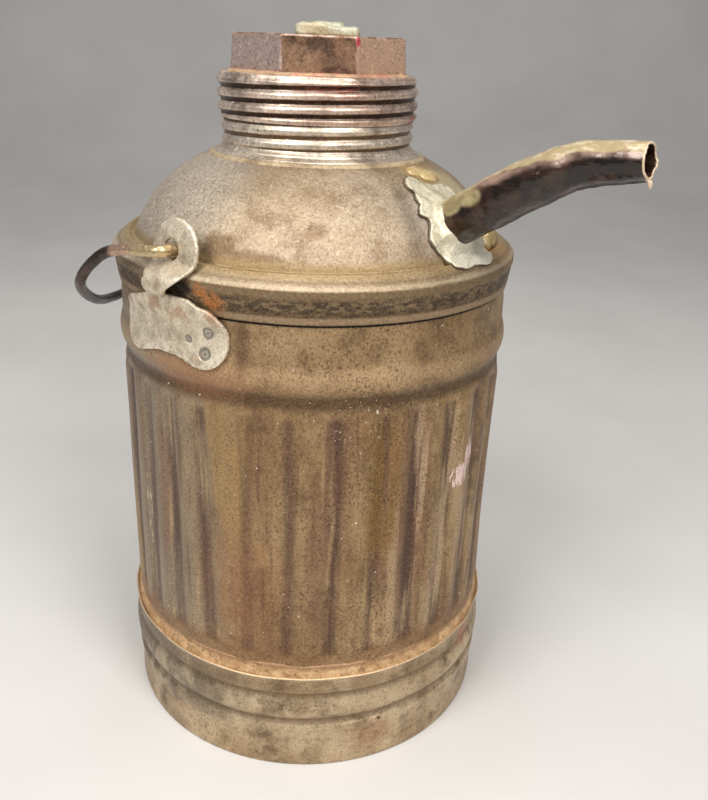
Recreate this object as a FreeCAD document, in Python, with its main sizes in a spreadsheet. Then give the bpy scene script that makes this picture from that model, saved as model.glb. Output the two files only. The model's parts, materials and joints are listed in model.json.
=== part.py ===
"""Sheet-metal oil can: fluted body, domed top, screw cap, curved spout and wire bail.

Millimetres. Z points up, X points out over the spout and the bail turns about an axis
parallel to Y. The origin is the middle of the base rim, on the surface the can stands on.
"""
import FreeCAD, Part
import math
import os

import Sketcher

X_AXIS = FreeCAD.Vector(1, 0, 0)
Z_AXIS = FreeCAD.Vector(0, 0, 1)
ORIGIN = FreeCAD.Vector(0, 0, 0)
FULL_TURN = 2 * math.pi

SIZES = {
    # Sheet thicknesses and clearances
    "tin": 0.8,
    "body_tin": 0.7,
    "lug_tin": 1.5,
    "lap_gap": 0.08,
    # Base band, bottom plate and their solder
    "base_radius": 78.5,
    "base_lip_level": 44.5,
    "base_lip_radius": 79.1,
    "bottom_radius": 75.7,
    "bottom_level": 6.5,
    # Fluted body
    "body_radius": 76.4,
    "body_foot_level": 2.2,
    "body_head_level": 197.0,
    "flute_number": 30,
    "flute_depth": 0.9,
    "flute_foot_level": 50.5,
    "flute_head_level": 157.5,
    "flute_turn": 5.0,
    "groove_level": 159.5,
    "bead_level": 168.0,
    "bead_height": 1.4,
    "head_step": 0.35,
    # Domed top with its skirt and shoulder
    "seam_level": 187.5,
    "skirt_radius": 77.0,
    "shoulder_radius": 78.5,
    "shoulder_level": 198.5,
    "dome_foot_radius": 69.8,
    "dome_foot_level": 203.5,
    "dome_arc_radius": 49.7,
    "dome_crown_radius": 40.0,
    "dome_crown_level": 232.5,
    "neck_hole_radius": 36.2,
    "neck_hole_level": 233.9,
    # Neck and its rolled thread
    "thread_pitch": 4.5,
    "neck_foot_level": 232.9,
    "neck_foot_radius": 39.9,
    "neck_mouth_level": 258.5,
    "neck_waist_radius": 35.6,
    "neck_bead_radius": 35.9,
    "neck_bead_depth": 0.4,
    "neck_bead_crest": 243.6,
    "neck_thread_radius": 35.4,
    "neck_thread_depth": 0.5,
    # Screw cap
    "cap_lip_level": 245.1,
    "cap_top_level": 260.9,
    "cap_thread_radius": 36.85,
    "cap_thread_depth": 0.55,
    "cap_thread_crest": 250.6,
    "cap_tin": 0.6,
    "cap_rim_radius": 36.0,
    "cap_bore_radius": 29.5,
    "gasket_radius": 35.2,
    "gasket_thickness": 1.5,
    # Eight-sided crown on the cap
    "crown_apothem": 31.4,
    "crown_height": 12.8,
    "crown_taper": 3.6,
    "crown_turn": -49.0,
    "crown_edge_radius": 0.7,
    "crown_bead_width": 1.1,
    "crown_bead_height": 0.8,
    # Spout
    "spout_base_radius": 8.7,
    "spout_bore_radius": 5.05,
    "spout_bore_length": 3.0,
    "spout_seam_height": 0.6,
    "patch_thickness": 1.3,
    # Lugs
    "lug_inner_radius": 76.5,
    "lug_hole_level": 206.8,
    "lug_hole_radius": 3.6,
    "lug_hole_offset": 2.4,
    "lug_disc_radius": 10.9,
    "lug_disc_offset": 4.0,
    "lug_disc_level": 206.3,
    # Bail
    "wire_radius": 2.0,
    "bail_pin_inner": 71.5,
    "bail_leg_offset": 80.3,
}

document = FreeCAD.newDocument("oil_can")
subparts = []


def make_sheet():
    """Writes the driving dimensions into the spreadsheet, one row each."""
    cells = document.addObject("Spreadsheet::Sheet", "Sizes")
    for row, (alias, size) in enumerate(SIZES.items(), start=1):
        cells.set(f"A{row}", alias)
        cells.set(f"B{row}", str(size))
        cells.setAlias(f"B{row}", alias)
    document.recompute()
    return cells


sheet = make_sheet()


def size(alias):
    """The current value of one spreadsheet cell."""
    return float(sheet.get(alias))


def keep(item, label):
    """Names an object as one sub-part of the can."""
    item.Label = label
    subparts.append(item)
    return item


# Sketches: outlines bound corner by corner to the spreadsheet


def arc_centre(first, last, radius, turns_left):
    """Centre of the smaller arc of a radius between two points."""
    across = last[0] - first[0]
    along = last[1] - first[1]
    chord = math.hypot(across, along)
    depth = math.sqrt(max(radius * radius - chord * chord / 4, 0.0))
    side = 1 if turns_left else -1
    middle = ((first[0] + last[0]) / 2, (first[1] + last[1]) / 2)
    return middle[0] - side * depth * along / chord, middle[1] + side * depth * across / chord


def add_edge(sketch, first, last, corner):
    """Adds the line or arc that leaves a corner; returns its index, first end and last end."""
    if len(corner) == 2:
        line = Part.LineSegment(FreeCAD.Vector(*first, 0), FreeCAD.Vector(*last, 0))
        return sketch.addGeometry(line), 1, 2
    radius = float(sketch.evalExpression(corner[2]))
    turns_left = corner[3] == "left"
    centre = arc_centre(first, last, radius, turns_left)
    start = math.atan2(first[1] - centre[1], first[0] - centre[0])
    stop = math.atan2(last[1] - centre[1], last[0] - centre[0])
    circle = Part.Circle(FreeCAD.Vector(*centre, 0), Z_AXIS, radius)
    if turns_left:
        index = sketch.addGeometry(Part.ArcOfCircle(circle, start, stop))
    else:
        index = sketch.addGeometry(Part.ArcOfCircle(circle, stop, start))
    number = sketch.addConstraint(Sketcher.Constraint("Radius", index, radius))
    sketch.setExpression(f"Constraints[{number}]", corner[2])
    return (index, 1, 2) if turns_left else (index, 2, 1)


def pin_corner(sketch, index, end, point, corner):
    """Binds one corner's two coordinates to their expressions."""
    for kind, value, text in (("DistanceX", point[0], corner[0]), ("DistanceY", point[1], corner[1])):
        number = sketch.addConstraint(Sketcher.Constraint(kind, -1, 1, index, end, value))
        sketch.setExpression(f"Constraints[{number}]", text)


def draw(sketch, corners, closed):
    """Draws corners (u, v) or (u, v, radius, side) in a sketch, each one an expression."""
    points = []
    for corner in corners:
        points.append((float(sketch.evalExpression(corner[0])), float(sketch.evalExpression(corner[1]))))
    count = len(corners)
    edges = []
    for number in range(count if closed else count - 1):
        edges.append(add_edge(sketch, points[number], points[(number + 1) % count], corners[number]))
    for number, (index, first_end, last_end) in enumerate(edges):
        pin_corner(sketch, index, first_end, points[number], corners[number])
        if number > 0 or closed:
            before = edges[number - 1]
            sketch.addConstraint(Sketcher.Constraint("Coincident", before[0], before[2], index, first_end))
    if not closed:
        pin_corner(sketch, edges[-1][0], edges[-1][2], points[-1], corners[-1])
    document.recompute()
    return sketch


def free_sketch(name, corners, closed, rotation):
    """A sketch that stands on its own, for the Part workbench's extrusions and revolutions."""
    sketch = document.addObject("Sketcher::SketchObject", name)
    sketch.Placement = FreeCAD.Placement(ORIGIN, rotation)
    return draw(sketch, corners, closed)


def body_sketch(body, name, plane, corners):
    """A closed sketch on one of its own body's origin planes."""
    sketch = body.newObject("Sketcher::SketchObject", name)
    plane_feature = next(item for item in body.Origin.OriginFeatures if item.Role == plane)
    sketch.AttachmentSupport = [(plane_feature, "")]
    sketch.MapMode = "FlatFace"
    document.recompute()
    return draw(sketch, corners, True)


UPRIGHT = FreeCAD.Rotation(X_AXIS, 90)


# Sheet metal turned about the Z axis


def spun_sheet(name, corners, thickness):
    """Sheet metal spun about Z: an open outline of its outer face, thickened inwards."""
    line = free_sketch(name + "_line", corners, False, UPRIGHT)
    section = document.addObject("Part::Offset2D", name + "_section")
    section.Source = line
    section.Mode = "Skin"
    section.Join = "Intersection"
    section.Fill = True
    section.setExpression("Value", thickness)
    document.recompute()
    spun = document.addObject("Part::Revolution", name)
    spun.Source = section
    spun.Axis = Z_AXIS
    spun.Base = ORIGIN
    spun.Angle = 360
    spun.Solid = True
    document.recompute()
    return spun


def turned_ring(name, corners):
    """A solid ring turned about Z from a closed outline."""
    body = document.addObject("PartDesign::Body", name)
    sketch = body_sketch(body, name + "_outline", "XZ_Plane", corners)
    ring = body.newObject("PartDesign::Revolution", name + "_turn")
    ring.Profile = sketch
    ring.ReferenceAxis = (sketch, ["V_Axis"])
    ring.Angle = 360
    document.recompute()
    return body


def make_base_band():
    """Skirt of the base with its rolled bead between two grooves and a flared lip."""
    corners = [
        ("Sizes.base_radius - 0.2", "0"),
        ("Sizes.base_radius - 0.2", "3"),
        ("Sizes.base_radius", "17"),
        ("Sizes.base_radius + 0.3", "19", "2.5", "left"),
        ("Sizes.base_radius", "20.6", "2.7", "right"),
        ("Sizes.base_radius - 0.2", "24.6", "10.6", "left"),
        ("Sizes.base_radius - 0.2", "33.6", "2.7", "right"),
        ("Sizes.base_radius", "37.2"),
        ("Sizes.base_radius + 0.1", "42.5"),
        ("Sizes.base_lip_radius", "Sizes.base_lip_level"),
    ]
    keep(spun_sheet("base_band", corners, "Sizes.tin"), "base_band")


def make_bottom_plate():
    """Recessed bottom: a disc with its flange turned down inside the body."""
    corners = [
        ("Sizes.bottom_radius", "0.8"),
        ("Sizes.bottom_radius", "Sizes.bottom_level - 1.6", "1.6", "left"),
        ("Sizes.bottom_radius - 1.6", "Sizes.bottom_level"),
        ("0", "Sizes.bottom_level"),
    ]
    keep(spun_sheet("bottom_plate", corners, "Sizes.tin"), "bottom_plate")


def make_solder_rings():
    """Solder at the base rim, at the foot of the body and around the foot of the neck."""
    base = [
        ("Sizes.bottom_radius + Sizes.lap_gap", "0.7"),
        ("Sizes.base_radius - 1.15", "0.7"),
        ("Sizes.base_radius - 1.15", "Sizes.body_foot_level - Sizes.lap_gap"),
        ("Sizes.bottom_radius + Sizes.lap_gap", "Sizes.body_foot_level - Sizes.lap_gap"),
    ]
    keep(turned_ring("base_solder", base), "base_solder")
    foot = [
        ("Sizes.body_radius + 0.3", "Sizes.base_lip_level - 1.2"),
        ("Sizes.base_lip_radius - 1.5", "Sizes.base_lip_level - 1.2"),
        ("Sizes.base_lip_radius - 0.95", "Sizes.base_lip_level + 0.2"),
        ("Sizes.body_radius + 0.6", "Sizes.base_lip_level + 3"),
        ("Sizes.body_radius + 0.3", "Sizes.flute_foot_level"),
    ]
    keep(turned_ring("foot_solder", foot), "foot_solder")
    neck = [
        ("Sizes.neck_foot_radius + Sizes.lap_gap", "Sizes.neck_foot_level - 0.3"),
        ("Sizes.neck_foot_radius + 2.3", "Sizes.neck_foot_level - 1.15"),
        ("Sizes.neck_foot_radius + 1.6", "Sizes.neck_foot_level + 0.1"),
        ("Sizes.neck_foot_radius + Sizes.lap_gap", "Sizes.neck_foot_level + 1.0"),
    ]
    keep(turned_ring("neck_solder", neck), "neck_solder")


# Shells whose radius changes around the axis as well as along it


def shell_surface(radius_at, levels, turns):
    """A surface of radius radius_at(angle, level) through whole rings at the given levels."""
    grid = []
    for step in range(turns + 1):
        angle = FULL_TURN * (step % turns) / turns
        row = []
        for level in levels:
            radius = radius_at(angle, level)
            row.append(FreeCAD.Vector(radius * math.cos(angle), radius * math.sin(angle), level))
        grid.append(row)
    surface = Part.BSplineSurface()
    surface.interpolate(grid)
    return surface.toShape()


def rim(face, level):
    """The face's closed edge at one level."""
    for edge in face.Edges:
        middle = edge.valueAt((edge.FirstParameter + edge.LastParameter) / 2)
        if edge.isClosed() and abs(middle.z - level) < 1e-4:
            return edge
    raise ValueError(f"no rim at level {level}")


def flat_ring(outer, inner):
    """The flat ring between two closed edges in one plane."""
    return Part.makeRuledSurface(outer, inner)


def closed_solid(faces):
    """Sews faces into one solid that encloses a positive volume."""
    shell = Part.makeShell(faces)
    shell.sewShape()
    solid = Part.Solid(Part.Shell(shell.Faces))
    if solid.Volume < 0:
        solid.reverse()
    return solid


def smooth_step(value, low, high):
    """0 below low, 1 above high and a smooth rise between."""
    share = min(max((value - low) / (high - low), 0.0), 1.0)
    return share * share * (3 - 2 * share)


def window(value, low, high, fade):
    """1 between low and high, fading to 0 outside over the fade's length."""
    return smooth_step(value, low, low + fade) * (1 - smooth_step(value, high - fade, high))


def evenly(low, high, count):
    """Evenly spaced values from low to high, both included."""
    return [low + (high - low) * step / (count - 1) for step in range(count)]


def feature(name, shape):
    """Puts a computed shape into the document as a sub-part."""
    item = document.addObject("Part::Feature", name)
    item.Shape = shape
    item.Placement = FreeCAD.Placement()
    return keep(item, name)


def body_radius_at(angle, level):
    """Outer radius of the body: flutes, the groove above them and the rolled bead."""
    flutes = window(level, size("flute_foot_level"), size("flute_head_level"), 7.0)
    groove = window(level, size("groove_level") - 4.5, size("groove_level") + 4.5, 4.0)
    bead = window(level, size("bead_level") - 7.5, size("bead_level") + 8.5, 7.0)
    head = smooth_step(level, size("seam_level") - 7.0, size("seam_level") - 1.0)
    phase = size("flute_number") * (angle - math.radians(size("flute_turn")))
    foot = 0.2 * (1 - smooth_step(level, 44.0, 54.0))
    radius = size("body_radius") + foot - size("flute_depth") * flutes * math.cos(phase)
    return radius - 0.45 * groove + size("bead_height") * bead - size("head_step") * head


def make_body_shell():
    """Fluted body, open at both ends, held inside the base band and the skirt."""
    foot = size("body_foot_level")
    head = size("body_head_level")
    levels = evenly(foot, head, 44)
    turns = int(size("flute_number")) * 6
    wall = size("body_tin")
    outer = shell_surface(body_radius_at, levels, turns)
    inner = shell_surface(lambda angle, level: body_radius_at(angle, level) - wall, levels, turns)
    ends = [flat_ring(rim(outer, foot), rim(inner, foot)), flat_ring(rim(outer, head), rim(inner, head))]
    feature("body_shell", closed_solid([outer, inner] + ends))


def thread_wave(angle, level, crest):
    """Height, from -1 to 1, of a right-hand thread with a crest at this level where angle is 0."""
    return math.cos(FULL_TURN * (level - crest) / size("thread_pitch") - angle)


def neck_radius_at(angle, level):
    """Outer radius of the neck: flared foot, two rolled turns and the thread under the cap."""
    above_foot = level - size("neck_foot_level")
    foot = (size("neck_foot_radius") - size("neck_waist_radius")) * (1 - smooth_step(above_foot, 0.5, 3.1))
    cap_lip = size("cap_lip_level")
    under_cap = smooth_step(level, cap_lip - 1.5, cap_lip + 0.5)
    mean = size("neck_bead_radius") + (size("neck_thread_radius") - size("neck_bead_radius")) * under_cap
    mean -= (size("neck_bead_radius") - size("neck_waist_radius")) * (1 - smooth_step(above_foot, 2.0, 4.5))
    beads = window(level, size("neck_foot_level") + 2.4, cap_lip - 0.4, 1.6)
    thread = window(level, cap_lip + 0.6, size("neck_mouth_level") - 1.0, 2.0)
    radius = mean + foot
    radius += size("neck_bead_depth") * beads * thread_wave(angle, level, size("neck_bead_crest"))
    return radius + size("neck_thread_depth") * thread * thread_wave(angle, level, size("cap_thread_crest"))


def make_neck_ring():
    """Threaded neck, soldered by its flared foot to the top of the dome."""
    foot = size("neck_foot_level")
    mouth = size("neck_mouth_level")
    levels = evenly(foot, mouth, 48)
    wall = size("tin")
    outer = shell_surface(neck_radius_at, levels, 48)
    inner = shell_surface(lambda angle, level: neck_radius_at(angle, level) - wall, levels, 48)
    ends = [flat_ring(rim(outer, foot), rim(inner, foot)), flat_ring(rim(outer, mouth), rim(inner, mouth))]
    feature("neck_ring", closed_solid([outer, inner] + ends))


def cap_radius_at(angle, level):
    """Outer radius of the cap's skirt: a rolled thread that fades into the lip and the rim."""
    lip = size("cap_lip_level")
    top = size("cap_top_level")
    thread = window(level, lip + 0.2, top - 1.2, 2.0)
    rim_fall = (size("cap_thread_radius") - size("cap_rim_radius")) * smooth_step(level, top - 2.4, top - 0.6)
    wave = thread_wave(angle, level, size("cap_thread_crest"))
    return size("cap_thread_radius") - rim_fall + size("cap_thread_depth") * thread * wave


def make_cap_ring():
    """Skirt of the screw cap with a flat flange that the crown stands on."""
    lip = size("cap_lip_level")
    top = size("cap_top_level")
    wall = size("cap_tin")
    under = top - wall
    bore = size("cap_bore_radius")
    outer = shell_surface(cap_radius_at, evenly(lip, top, 36), 48)
    inner = shell_surface(lambda angle, level: cap_radius_at(angle, level) - wall, evenly(lip, under, 34), 48)
    hole = Part.makeCylinder(bore, wall, FreeCAD.Vector(0, 0, under)).Faces[0]
    faces = [outer, inner, hole]
    faces.append(flat_ring(rim(outer, lip), rim(inner, lip)))
    faces.append(flat_ring(rim(outer, top), rim(hole, top)))
    faces.append(flat_ring(rim(inner, under), rim(hole, under)))
    feature("cap_ring", closed_solid(faces))


def make_gasket():
    """Cork disc between the neck's mouth and the cap."""
    disc = document.addObject("Part::Cylinder", "cap_gasket")
    disc.setExpression("Radius", "Sizes.gasket_radius")
    disc.setExpression("Height", "Sizes.gasket_thickness")
    under_cap = "Sizes.cap_top_level - Sizes.cap_tin"
    disc.setExpression("Placement.Base.z", f"{under_cap} - Sizes.gasket_thickness - 0.05")
    keep(disc, "cap_gasket")


# Domed top


DOME_CORNERS = [
    ("Sizes.skirt_radius", "Sizes.seam_level"),
    ("Sizes.shoulder_radius", "Sizes.shoulder_level - 1.5"),
    ("Sizes.shoulder_radius", "Sizes.shoulder_level", "2.2", "left"),
    ("Sizes.shoulder_radius - 1.3", "Sizes.shoulder_level + 2"),
    ("Sizes.shoulder_radius - 5.1", "Sizes.shoulder_level + 4.9", "1.4", "left"),
    ("Sizes.dome_foot_radius + 2.1", "Sizes.dome_foot_level - 0.1"),
    ("Sizes.dome_foot_radius + 1.2", "Sizes.dome_foot_level - 0.8", "0.9", "right"),
    ("Sizes.dome_foot_radius", "Sizes.dome_foot_level", "Sizes.dome_arc_radius", "left"),
    ("Sizes.dome_crown_radius", "Sizes.dome_crown_level"),
    ("Sizes.neck_hole_radius", "Sizes.neck_hole_level"),
]


def make_dome_top():
    """Dome, shoulder and skirt pressed from one sheet, with holes for the neck and the spout."""
    dome = spun_sheet("dome_sheet", DOME_CORNERS, "Sizes.tin")
    start, direction = spout_axis()
    drill = document.addObject("Part::Cylinder", "spout_hole")
    drill.setExpression("Radius", "Sizes.spout_base_radius + 0.15")
    drill.Height = 30
    back = start - direction * 14
    drill.Placement = FreeCAD.Placement(back, FreeCAD.Rotation(Z_AXIS, direction))
    cut = document.addObject("Part::Cut", "dome_top")
    cut.Base = dome
    cut.Tool = drill
    document.recompute()
    keep(cut, "dome_top")


# Spout

# The spout's centre line: X, level and outer radius, from inside the dome to the tip
SPOUT_LINE = [(60.5, 212.9, 8.7), (67.0, 217.0, 8.6), (73.7, 221.2, 8.4), (85.1, 228.4, 8.15),
              (95.1, 234.4, 7.65), (104.4, 238.6, 7.05), (113.6, 241.2, 6.5), (125.9, 242.8, 5.8),
              (129.0, 243.2, 5.5)]


def spout_axis():
    """Start and direction of the spout's straight base."""
    first = FreeCAD.Vector(SPOUT_LINE[0][0], 0, SPOUT_LINE[0][1])
    second = FreeCAD.Vector(SPOUT_LINE[2][0], 0, SPOUT_LINE[2][1])
    return first, (second - first).normalize()


def spout_stations(count):
    """Centre, direction and radius of rings along the spout's curved centre line."""
    line = Part.BSplineCurve()
    line.interpolate([FreeCAD.Vector(x, radius, level) for x, level, radius in SPOUT_LINE])
    stations = []
    for place in evenly(line.FirstParameter, line.LastParameter, count):
        point = line.value(place)
        direction = line.tangent(place)[0]
        heading = FreeCAD.Vector(direction.x, 0, direction.z).normalize()
        stations.append((FreeCAD.Vector(point.x, 0, point.z), heading, point.y))
    return stations


def spout_skin(stations, shrink, seam_height, turns):
    """A tube around the stations; a positive seam height raises the lapped seam underneath."""
    grid = []
    side = FreeCAD.Vector(0, 1, 0)
    for step in range(turns + 1):
        angle = FULL_TURN * (step % turns) / turns
        seam = seam_height * max(0.0, 1 - ((angle - 1.5 * math.pi) / 0.3) ** 2)
        row = []
        for centre, direction, radius in stations:
            upward = direction.cross(side)
            reach = radius - shrink + seam * smooth_step(centre.x, 72.0, 80.0)
            row.append(centre + side * (reach * math.cos(angle)) + upward * (reach * math.sin(angle)))
        grid.append(row)
    surface = Part.BSplineSurface()
    surface.interpolate(grid)
    return surface.toShape()


def end_edge(face, centre):
    """The closed edge of a tube's face that is nearest a point."""
    ends = [edge for edge in face.Edges if edge.isClosed()]
    return min(ends, key=lambda edge: edge.CenterOfMass.distanceToPoint(centre))


def make_spout_tube():
    """Tapered curved tube, lapped along its underside, with a round bore at the tip."""
    stations = spout_stations(22)
    outer = spout_skin(stations, 0.0, size("spout_seam_height"), 40)
    inner = spout_skin(stations, size("tin"), 0.0, 40)
    faces = [outer, inner]
    for centre in (stations[0][0], stations[-1][0]):
        faces.append(flat_ring(end_edge(outer, centre), end_edge(inner, centre)))
    tube = closed_solid(faces)
    tip, direction = stations[-1][0], stations[-1][1]
    length = size("spout_bore_length")
    bore = Part.makeCylinder(size("spout_bore_radius"), length + 1, tip - direction * length, direction)
    feature("spout_tube", tube.cut(bore))


# Solder and sealant on the dome


def dome_radius_at(level):
    """Outer radius of the dome's arc at a level."""
    foot = (size("dome_foot_radius"), size("dome_foot_level"))
    crown = (size("dome_crown_radius"), size("dome_crown_level"))
    centre = arc_centre(foot, crown, size("dome_arc_radius"), True)
    return centre[0] + math.sqrt(size("dome_arc_radius") ** 2 - (level - centre[1]) ** 2)


def dome_point(angle_deg, level, proud=0.0):
    """A point on the dome, moved outwards along the dome's normal."""
    slope = (dome_radius_at(level + 0.1) - dome_radius_at(level - 0.1)) / 0.2
    length = math.hypot(1, slope)
    radius = dome_radius_at(level) + proud / length
    angle = math.radians(angle_deg)
    lift = -slope * proud / length
    return FreeCAD.Vector(radius * math.cos(angle), radius * math.sin(angle), level + lift)


# Edge of the solder patch: degrees around the can and level, going round the spout
PATCH_EDGE = [(-3.3, 230.0), (-10.0, 227.0), (-10.4, 221.5), (-13.0, 218.5), (-11.8, 216.0), (-14.1, 211.0),
              (-11.2, 205.5), (-3.8, 204.2), (6.0, 204.6), (11.0, 207.5), (12.6, 213.5), (11.6, 220.0),
              (8.5, 225.5), (3.0, 229.0)]


def patch_reach(start, side, upward):
    """The patch's edge as a smooth closed curve across the spout's axis."""
    points = []
    for angle_deg, level in PATCH_EDGE:
        offset = dome_point(angle_deg, level) - start
        points.append(FreeCAD.Vector(offset.dot(side), offset.dot(upward), 0))
    curve = Part.BSplineCurve()
    curve.interpolate(points, PeriodicFlag=True)
    return curve


def on_dome(start, direction, offset, proud):
    """The point where a line along the spout, moved sideways by offset, meets the dome."""
    low, high = -20.0, 40.0
    for _ in range(50):
        middle = (low + high) / 2
        point = start + offset + direction * middle
        level = min(max(point.z, size("dome_foot_level")), size("dome_crown_level"))
        if math.hypot(point.x, point.y) < dome_radius_at(level):
            low = middle
        else:
            high = middle
    point = start + offset + direction * low
    angle_deg = math.degrees(math.atan2(point.y, point.x))
    return dome_point(angle_deg, min(max(point.z, size("dome_foot_level")), size("dome_crown_level")), proud)


def make_spout_patch():
    """Solder collar on the dome around the spout, thicker where it climbs the tube."""
    start, direction = spout_axis()
    side = FreeCAD.Vector(0, 1, 0)
    upward = direction.cross(side)
    edge = patch_reach(start, side, upward)
    thick = size("patch_thickness")
    hole = size("spout_base_radius") + 0.2
    wires = []
    for step in range(28):
        share = edge.FirstParameter + (edge.LastParameter - edge.FirstParameter) * step / 28
        rim_point = edge.value(share)
        reach = rim_point.Length
        across = side * (rim_point.x / reach) + upward * (rim_point.y / reach)
        ring = [on_dome(start, direction, across * (hole + (reach - hole) * part), height)
                for part, height in ((0, 0.1), (0.35, 0.1), (0.7, 0.1), (1.0, 0.1), (0.96, 0.8 * thick),
                                     (0.6, thick), (0.25, 1.3 * thick), (0.02, 2.2 * thick))]
        wires.append(Part.makePolygon(ring + ring[:1]))
    feature("spout_patch", Part.makeLoft(wires, True, False, True))


def lump(name, centre, radii, turn_deg):
    """An ellipsoid with its half lengths along X, Y and Z, turned about Z."""
    ball = document.addObject("Part::Ellipsoid", name)
    ball.Radius2 = radii[0]
    ball.Radius3 = radii[1]
    ball.Radius1 = radii[2]
    ball.Placement = FreeCAD.Placement(centre, FreeCAD.Rotation(Z_AXIS, turn_deg))
    return ball


def make_spout_sealant():
    """Two lumps of old sealant: one above the patch, one at the dome's foot beside the spout."""
    core = free_sketch("dome_core_outline", DOME_CORNERS + [
        ("0", "Sizes.neck_hole_level"), ("0", "Sizes.seam_level")], True, UPRIGHT)
    filled = document.addObject("Part::Revolution", "dome_core")
    filled.Source = core
    filled.Axis = Z_AXIS
    filled.Angle = 360
    filled.Solid = True
    upper = lump("sealant_upper", dome_point(8.0, 230.6), (3.2, 6.5, 2.4), 8.0)
    lower = lump("sealant_lower", dome_point(22.0, 206.5), (2.6, 5.0, 3.6), 22.0)
    pair = document.addObject("Part::MultiFuse", "sealant_pair")
    pair.Shapes = [upper, lower]
    cut = document.addObject("Part::Cut", "spout_sealant_cut")
    cut.Base = pair
    cut.Tool = filled
    document.recompute()
    feature("spout_sealant", cut.Shape.cut(document.getObject("spout_patch").Shape))


# Crown of the cap


def octagon(apothem):
    """Corners of an octagon about the origin, with two sides square to X."""
    half = f"({apothem}) * tan(22.5 deg)"
    full = f"({apothem})"
    return [(full, f"-{half}"), (full, half), (half, full), (f"-{half}", full),
            (f"-{full}", half), (f"-{full}", f"-{half}"), (f"-{half}", f"-{full}"), (half, f"-{full}")]


def crown_body(name):
    """A body standing on the cap's flange and turned with the crown."""
    body = document.addObject("PartDesign::Body", name)
    body.setExpression("Placement.Base.z", "Sizes.cap_top_level")
    body.setExpression("Placement.Rotation.Angle", "Sizes.crown_turn * 1 deg")
    return body


def tapered_pad(body, name, sketch, height, taper):
    """Pads a sketch upwards, leaning its sides inwards."""
    pad = body.newObject("PartDesign::Pad", name)
    pad.Profile = sketch
    pad.setExpression("Length", height)
    pad.setExpression("TaperAngle", taper)
    document.recompute()
    return pad


def tapered_pocket(body, name, sketch, height, taper):
    """Pockets a sketch upwards into the body, leaning the sides inwards."""
    pocket = body.newObject("PartDesign::Pocket", name)
    pocket.Profile = sketch
    pocket.Reversed = True
    pocket.setExpression("Length", height)
    pocket.setExpression("TaperAngle", taper)
    document.recompute()
    return pocket


def make_cap_crown():
    """Hollow eight-sided cup soldered to the cap's flange; it is what the hand turns."""
    body = crown_body("cap_crown")
    outline = body_sketch(body, "crown_outline", "XY_Plane", octagon("Sizes.crown_apothem"))
    pad = tapered_pad(body, "crown_wall", outline, "Sizes.crown_height", "-Sizes.crown_taper")
    top_edges = []
    for number, edge in enumerate(pad.Shape.Edges, start=1):
        if all(abs(vertex.Z - size("crown_height")) < 1e-6 for vertex in edge.Vertexes):
            top_edges.append(f"Edge{number}")
    fillet = body.newObject("PartDesign::Fillet", "crown_edge")
    fillet.Base = (pad, top_edges)
    fillet.setExpression("Radius", "Sizes.crown_edge_radius")
    document.recompute()
    hollow = body_sketch(body, "crown_hollow_outline", "XY_Plane", octagon("Sizes.crown_apothem - Sizes.tin"))
    tapered_pocket(body, "crown_hollow", hollow, "Sizes.crown_height - Sizes.tin", "-Sizes.crown_taper")
    keep(body, "cap_crown")


def make_crown_solder():
    """Low bead of solder around the foot of the crown."""
    body = crown_body("crown_solder")
    wide = "Sizes.crown_apothem + Sizes.crown_bead_width"
    outline = body_sketch(body, "bead_outline", "XY_Plane", octagon(wide))
    tapered_pad(body, "bead", outline, "Sizes.crown_bead_height", "-45")
    hole = octagon("Sizes.crown_apothem + Sizes.lap_gap")
    inside = body_sketch(body, "bead_hole_outline", "XY_Plane", hole)
    tapered_pocket(body, "bead_hole", inside, "Sizes.crown_bead_height + 1", "0")
    keep(body, "crown_solder")


def make_crown_patch():
    """Two lobes of soft metal on top of the crown, flat underneath."""
    top = size("cap_top_level") + size("crown_height")
    left = lump("patch_lobe_left", FreeCAD.Vector(0.5, 0.4, top - 0.5), (7.5, 6.0, 4.3), 20)
    right = lump("patch_lobe_right", FreeCAD.Vector(7.6, 6.0, top - 0.4), (6.4, 5.2, 5.2), 60)
    pair = document.addObject("Part::MultiFuse", "patch_lobes")
    pair.Shapes = [left, right]
    under = document.addObject("Part::Box", "under_patch")
    under.Length = 60
    under.Width = 60
    under.Height = 20
    under.Placement.Base = FreeCAD.Vector(-30, -30, top - 20)
    cut = document.addObject("Part::Cut", "crown_patch")
    cut.Base = pair
    cut.Tool = under
    document.recompute()
    keep(cut, "crown_patch")


# Lugs

SIDEWAYS = FreeCAD.Rotation(
    FreeCAD.Vector(0, -1, 0), FreeCAD.Vector(0, 0, 1), FreeCAD.Vector(-1, 0, 0), "XYZ")


def front_prism(name, corners):
    """A prism cut to a front outline, from the Z axis out through the lug at -Y."""
    sketch = free_sketch(name + "_outline", corners, True, UPRIGHT)
    prism = document.addObject("Part::Extrusion", name)
    prism.Base = sketch
    prism.DirMode = "Normal"
    prism.LengthFwd = 100
    prism.Solid = True
    return prism


def pair_of(kind, name, base, tool):
    """A boolean of two objects."""
    item = document.addObject(f"Part::{kind}", name)
    item.Base = base
    item.Tool = tool
    document.recompute()
    return item


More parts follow.
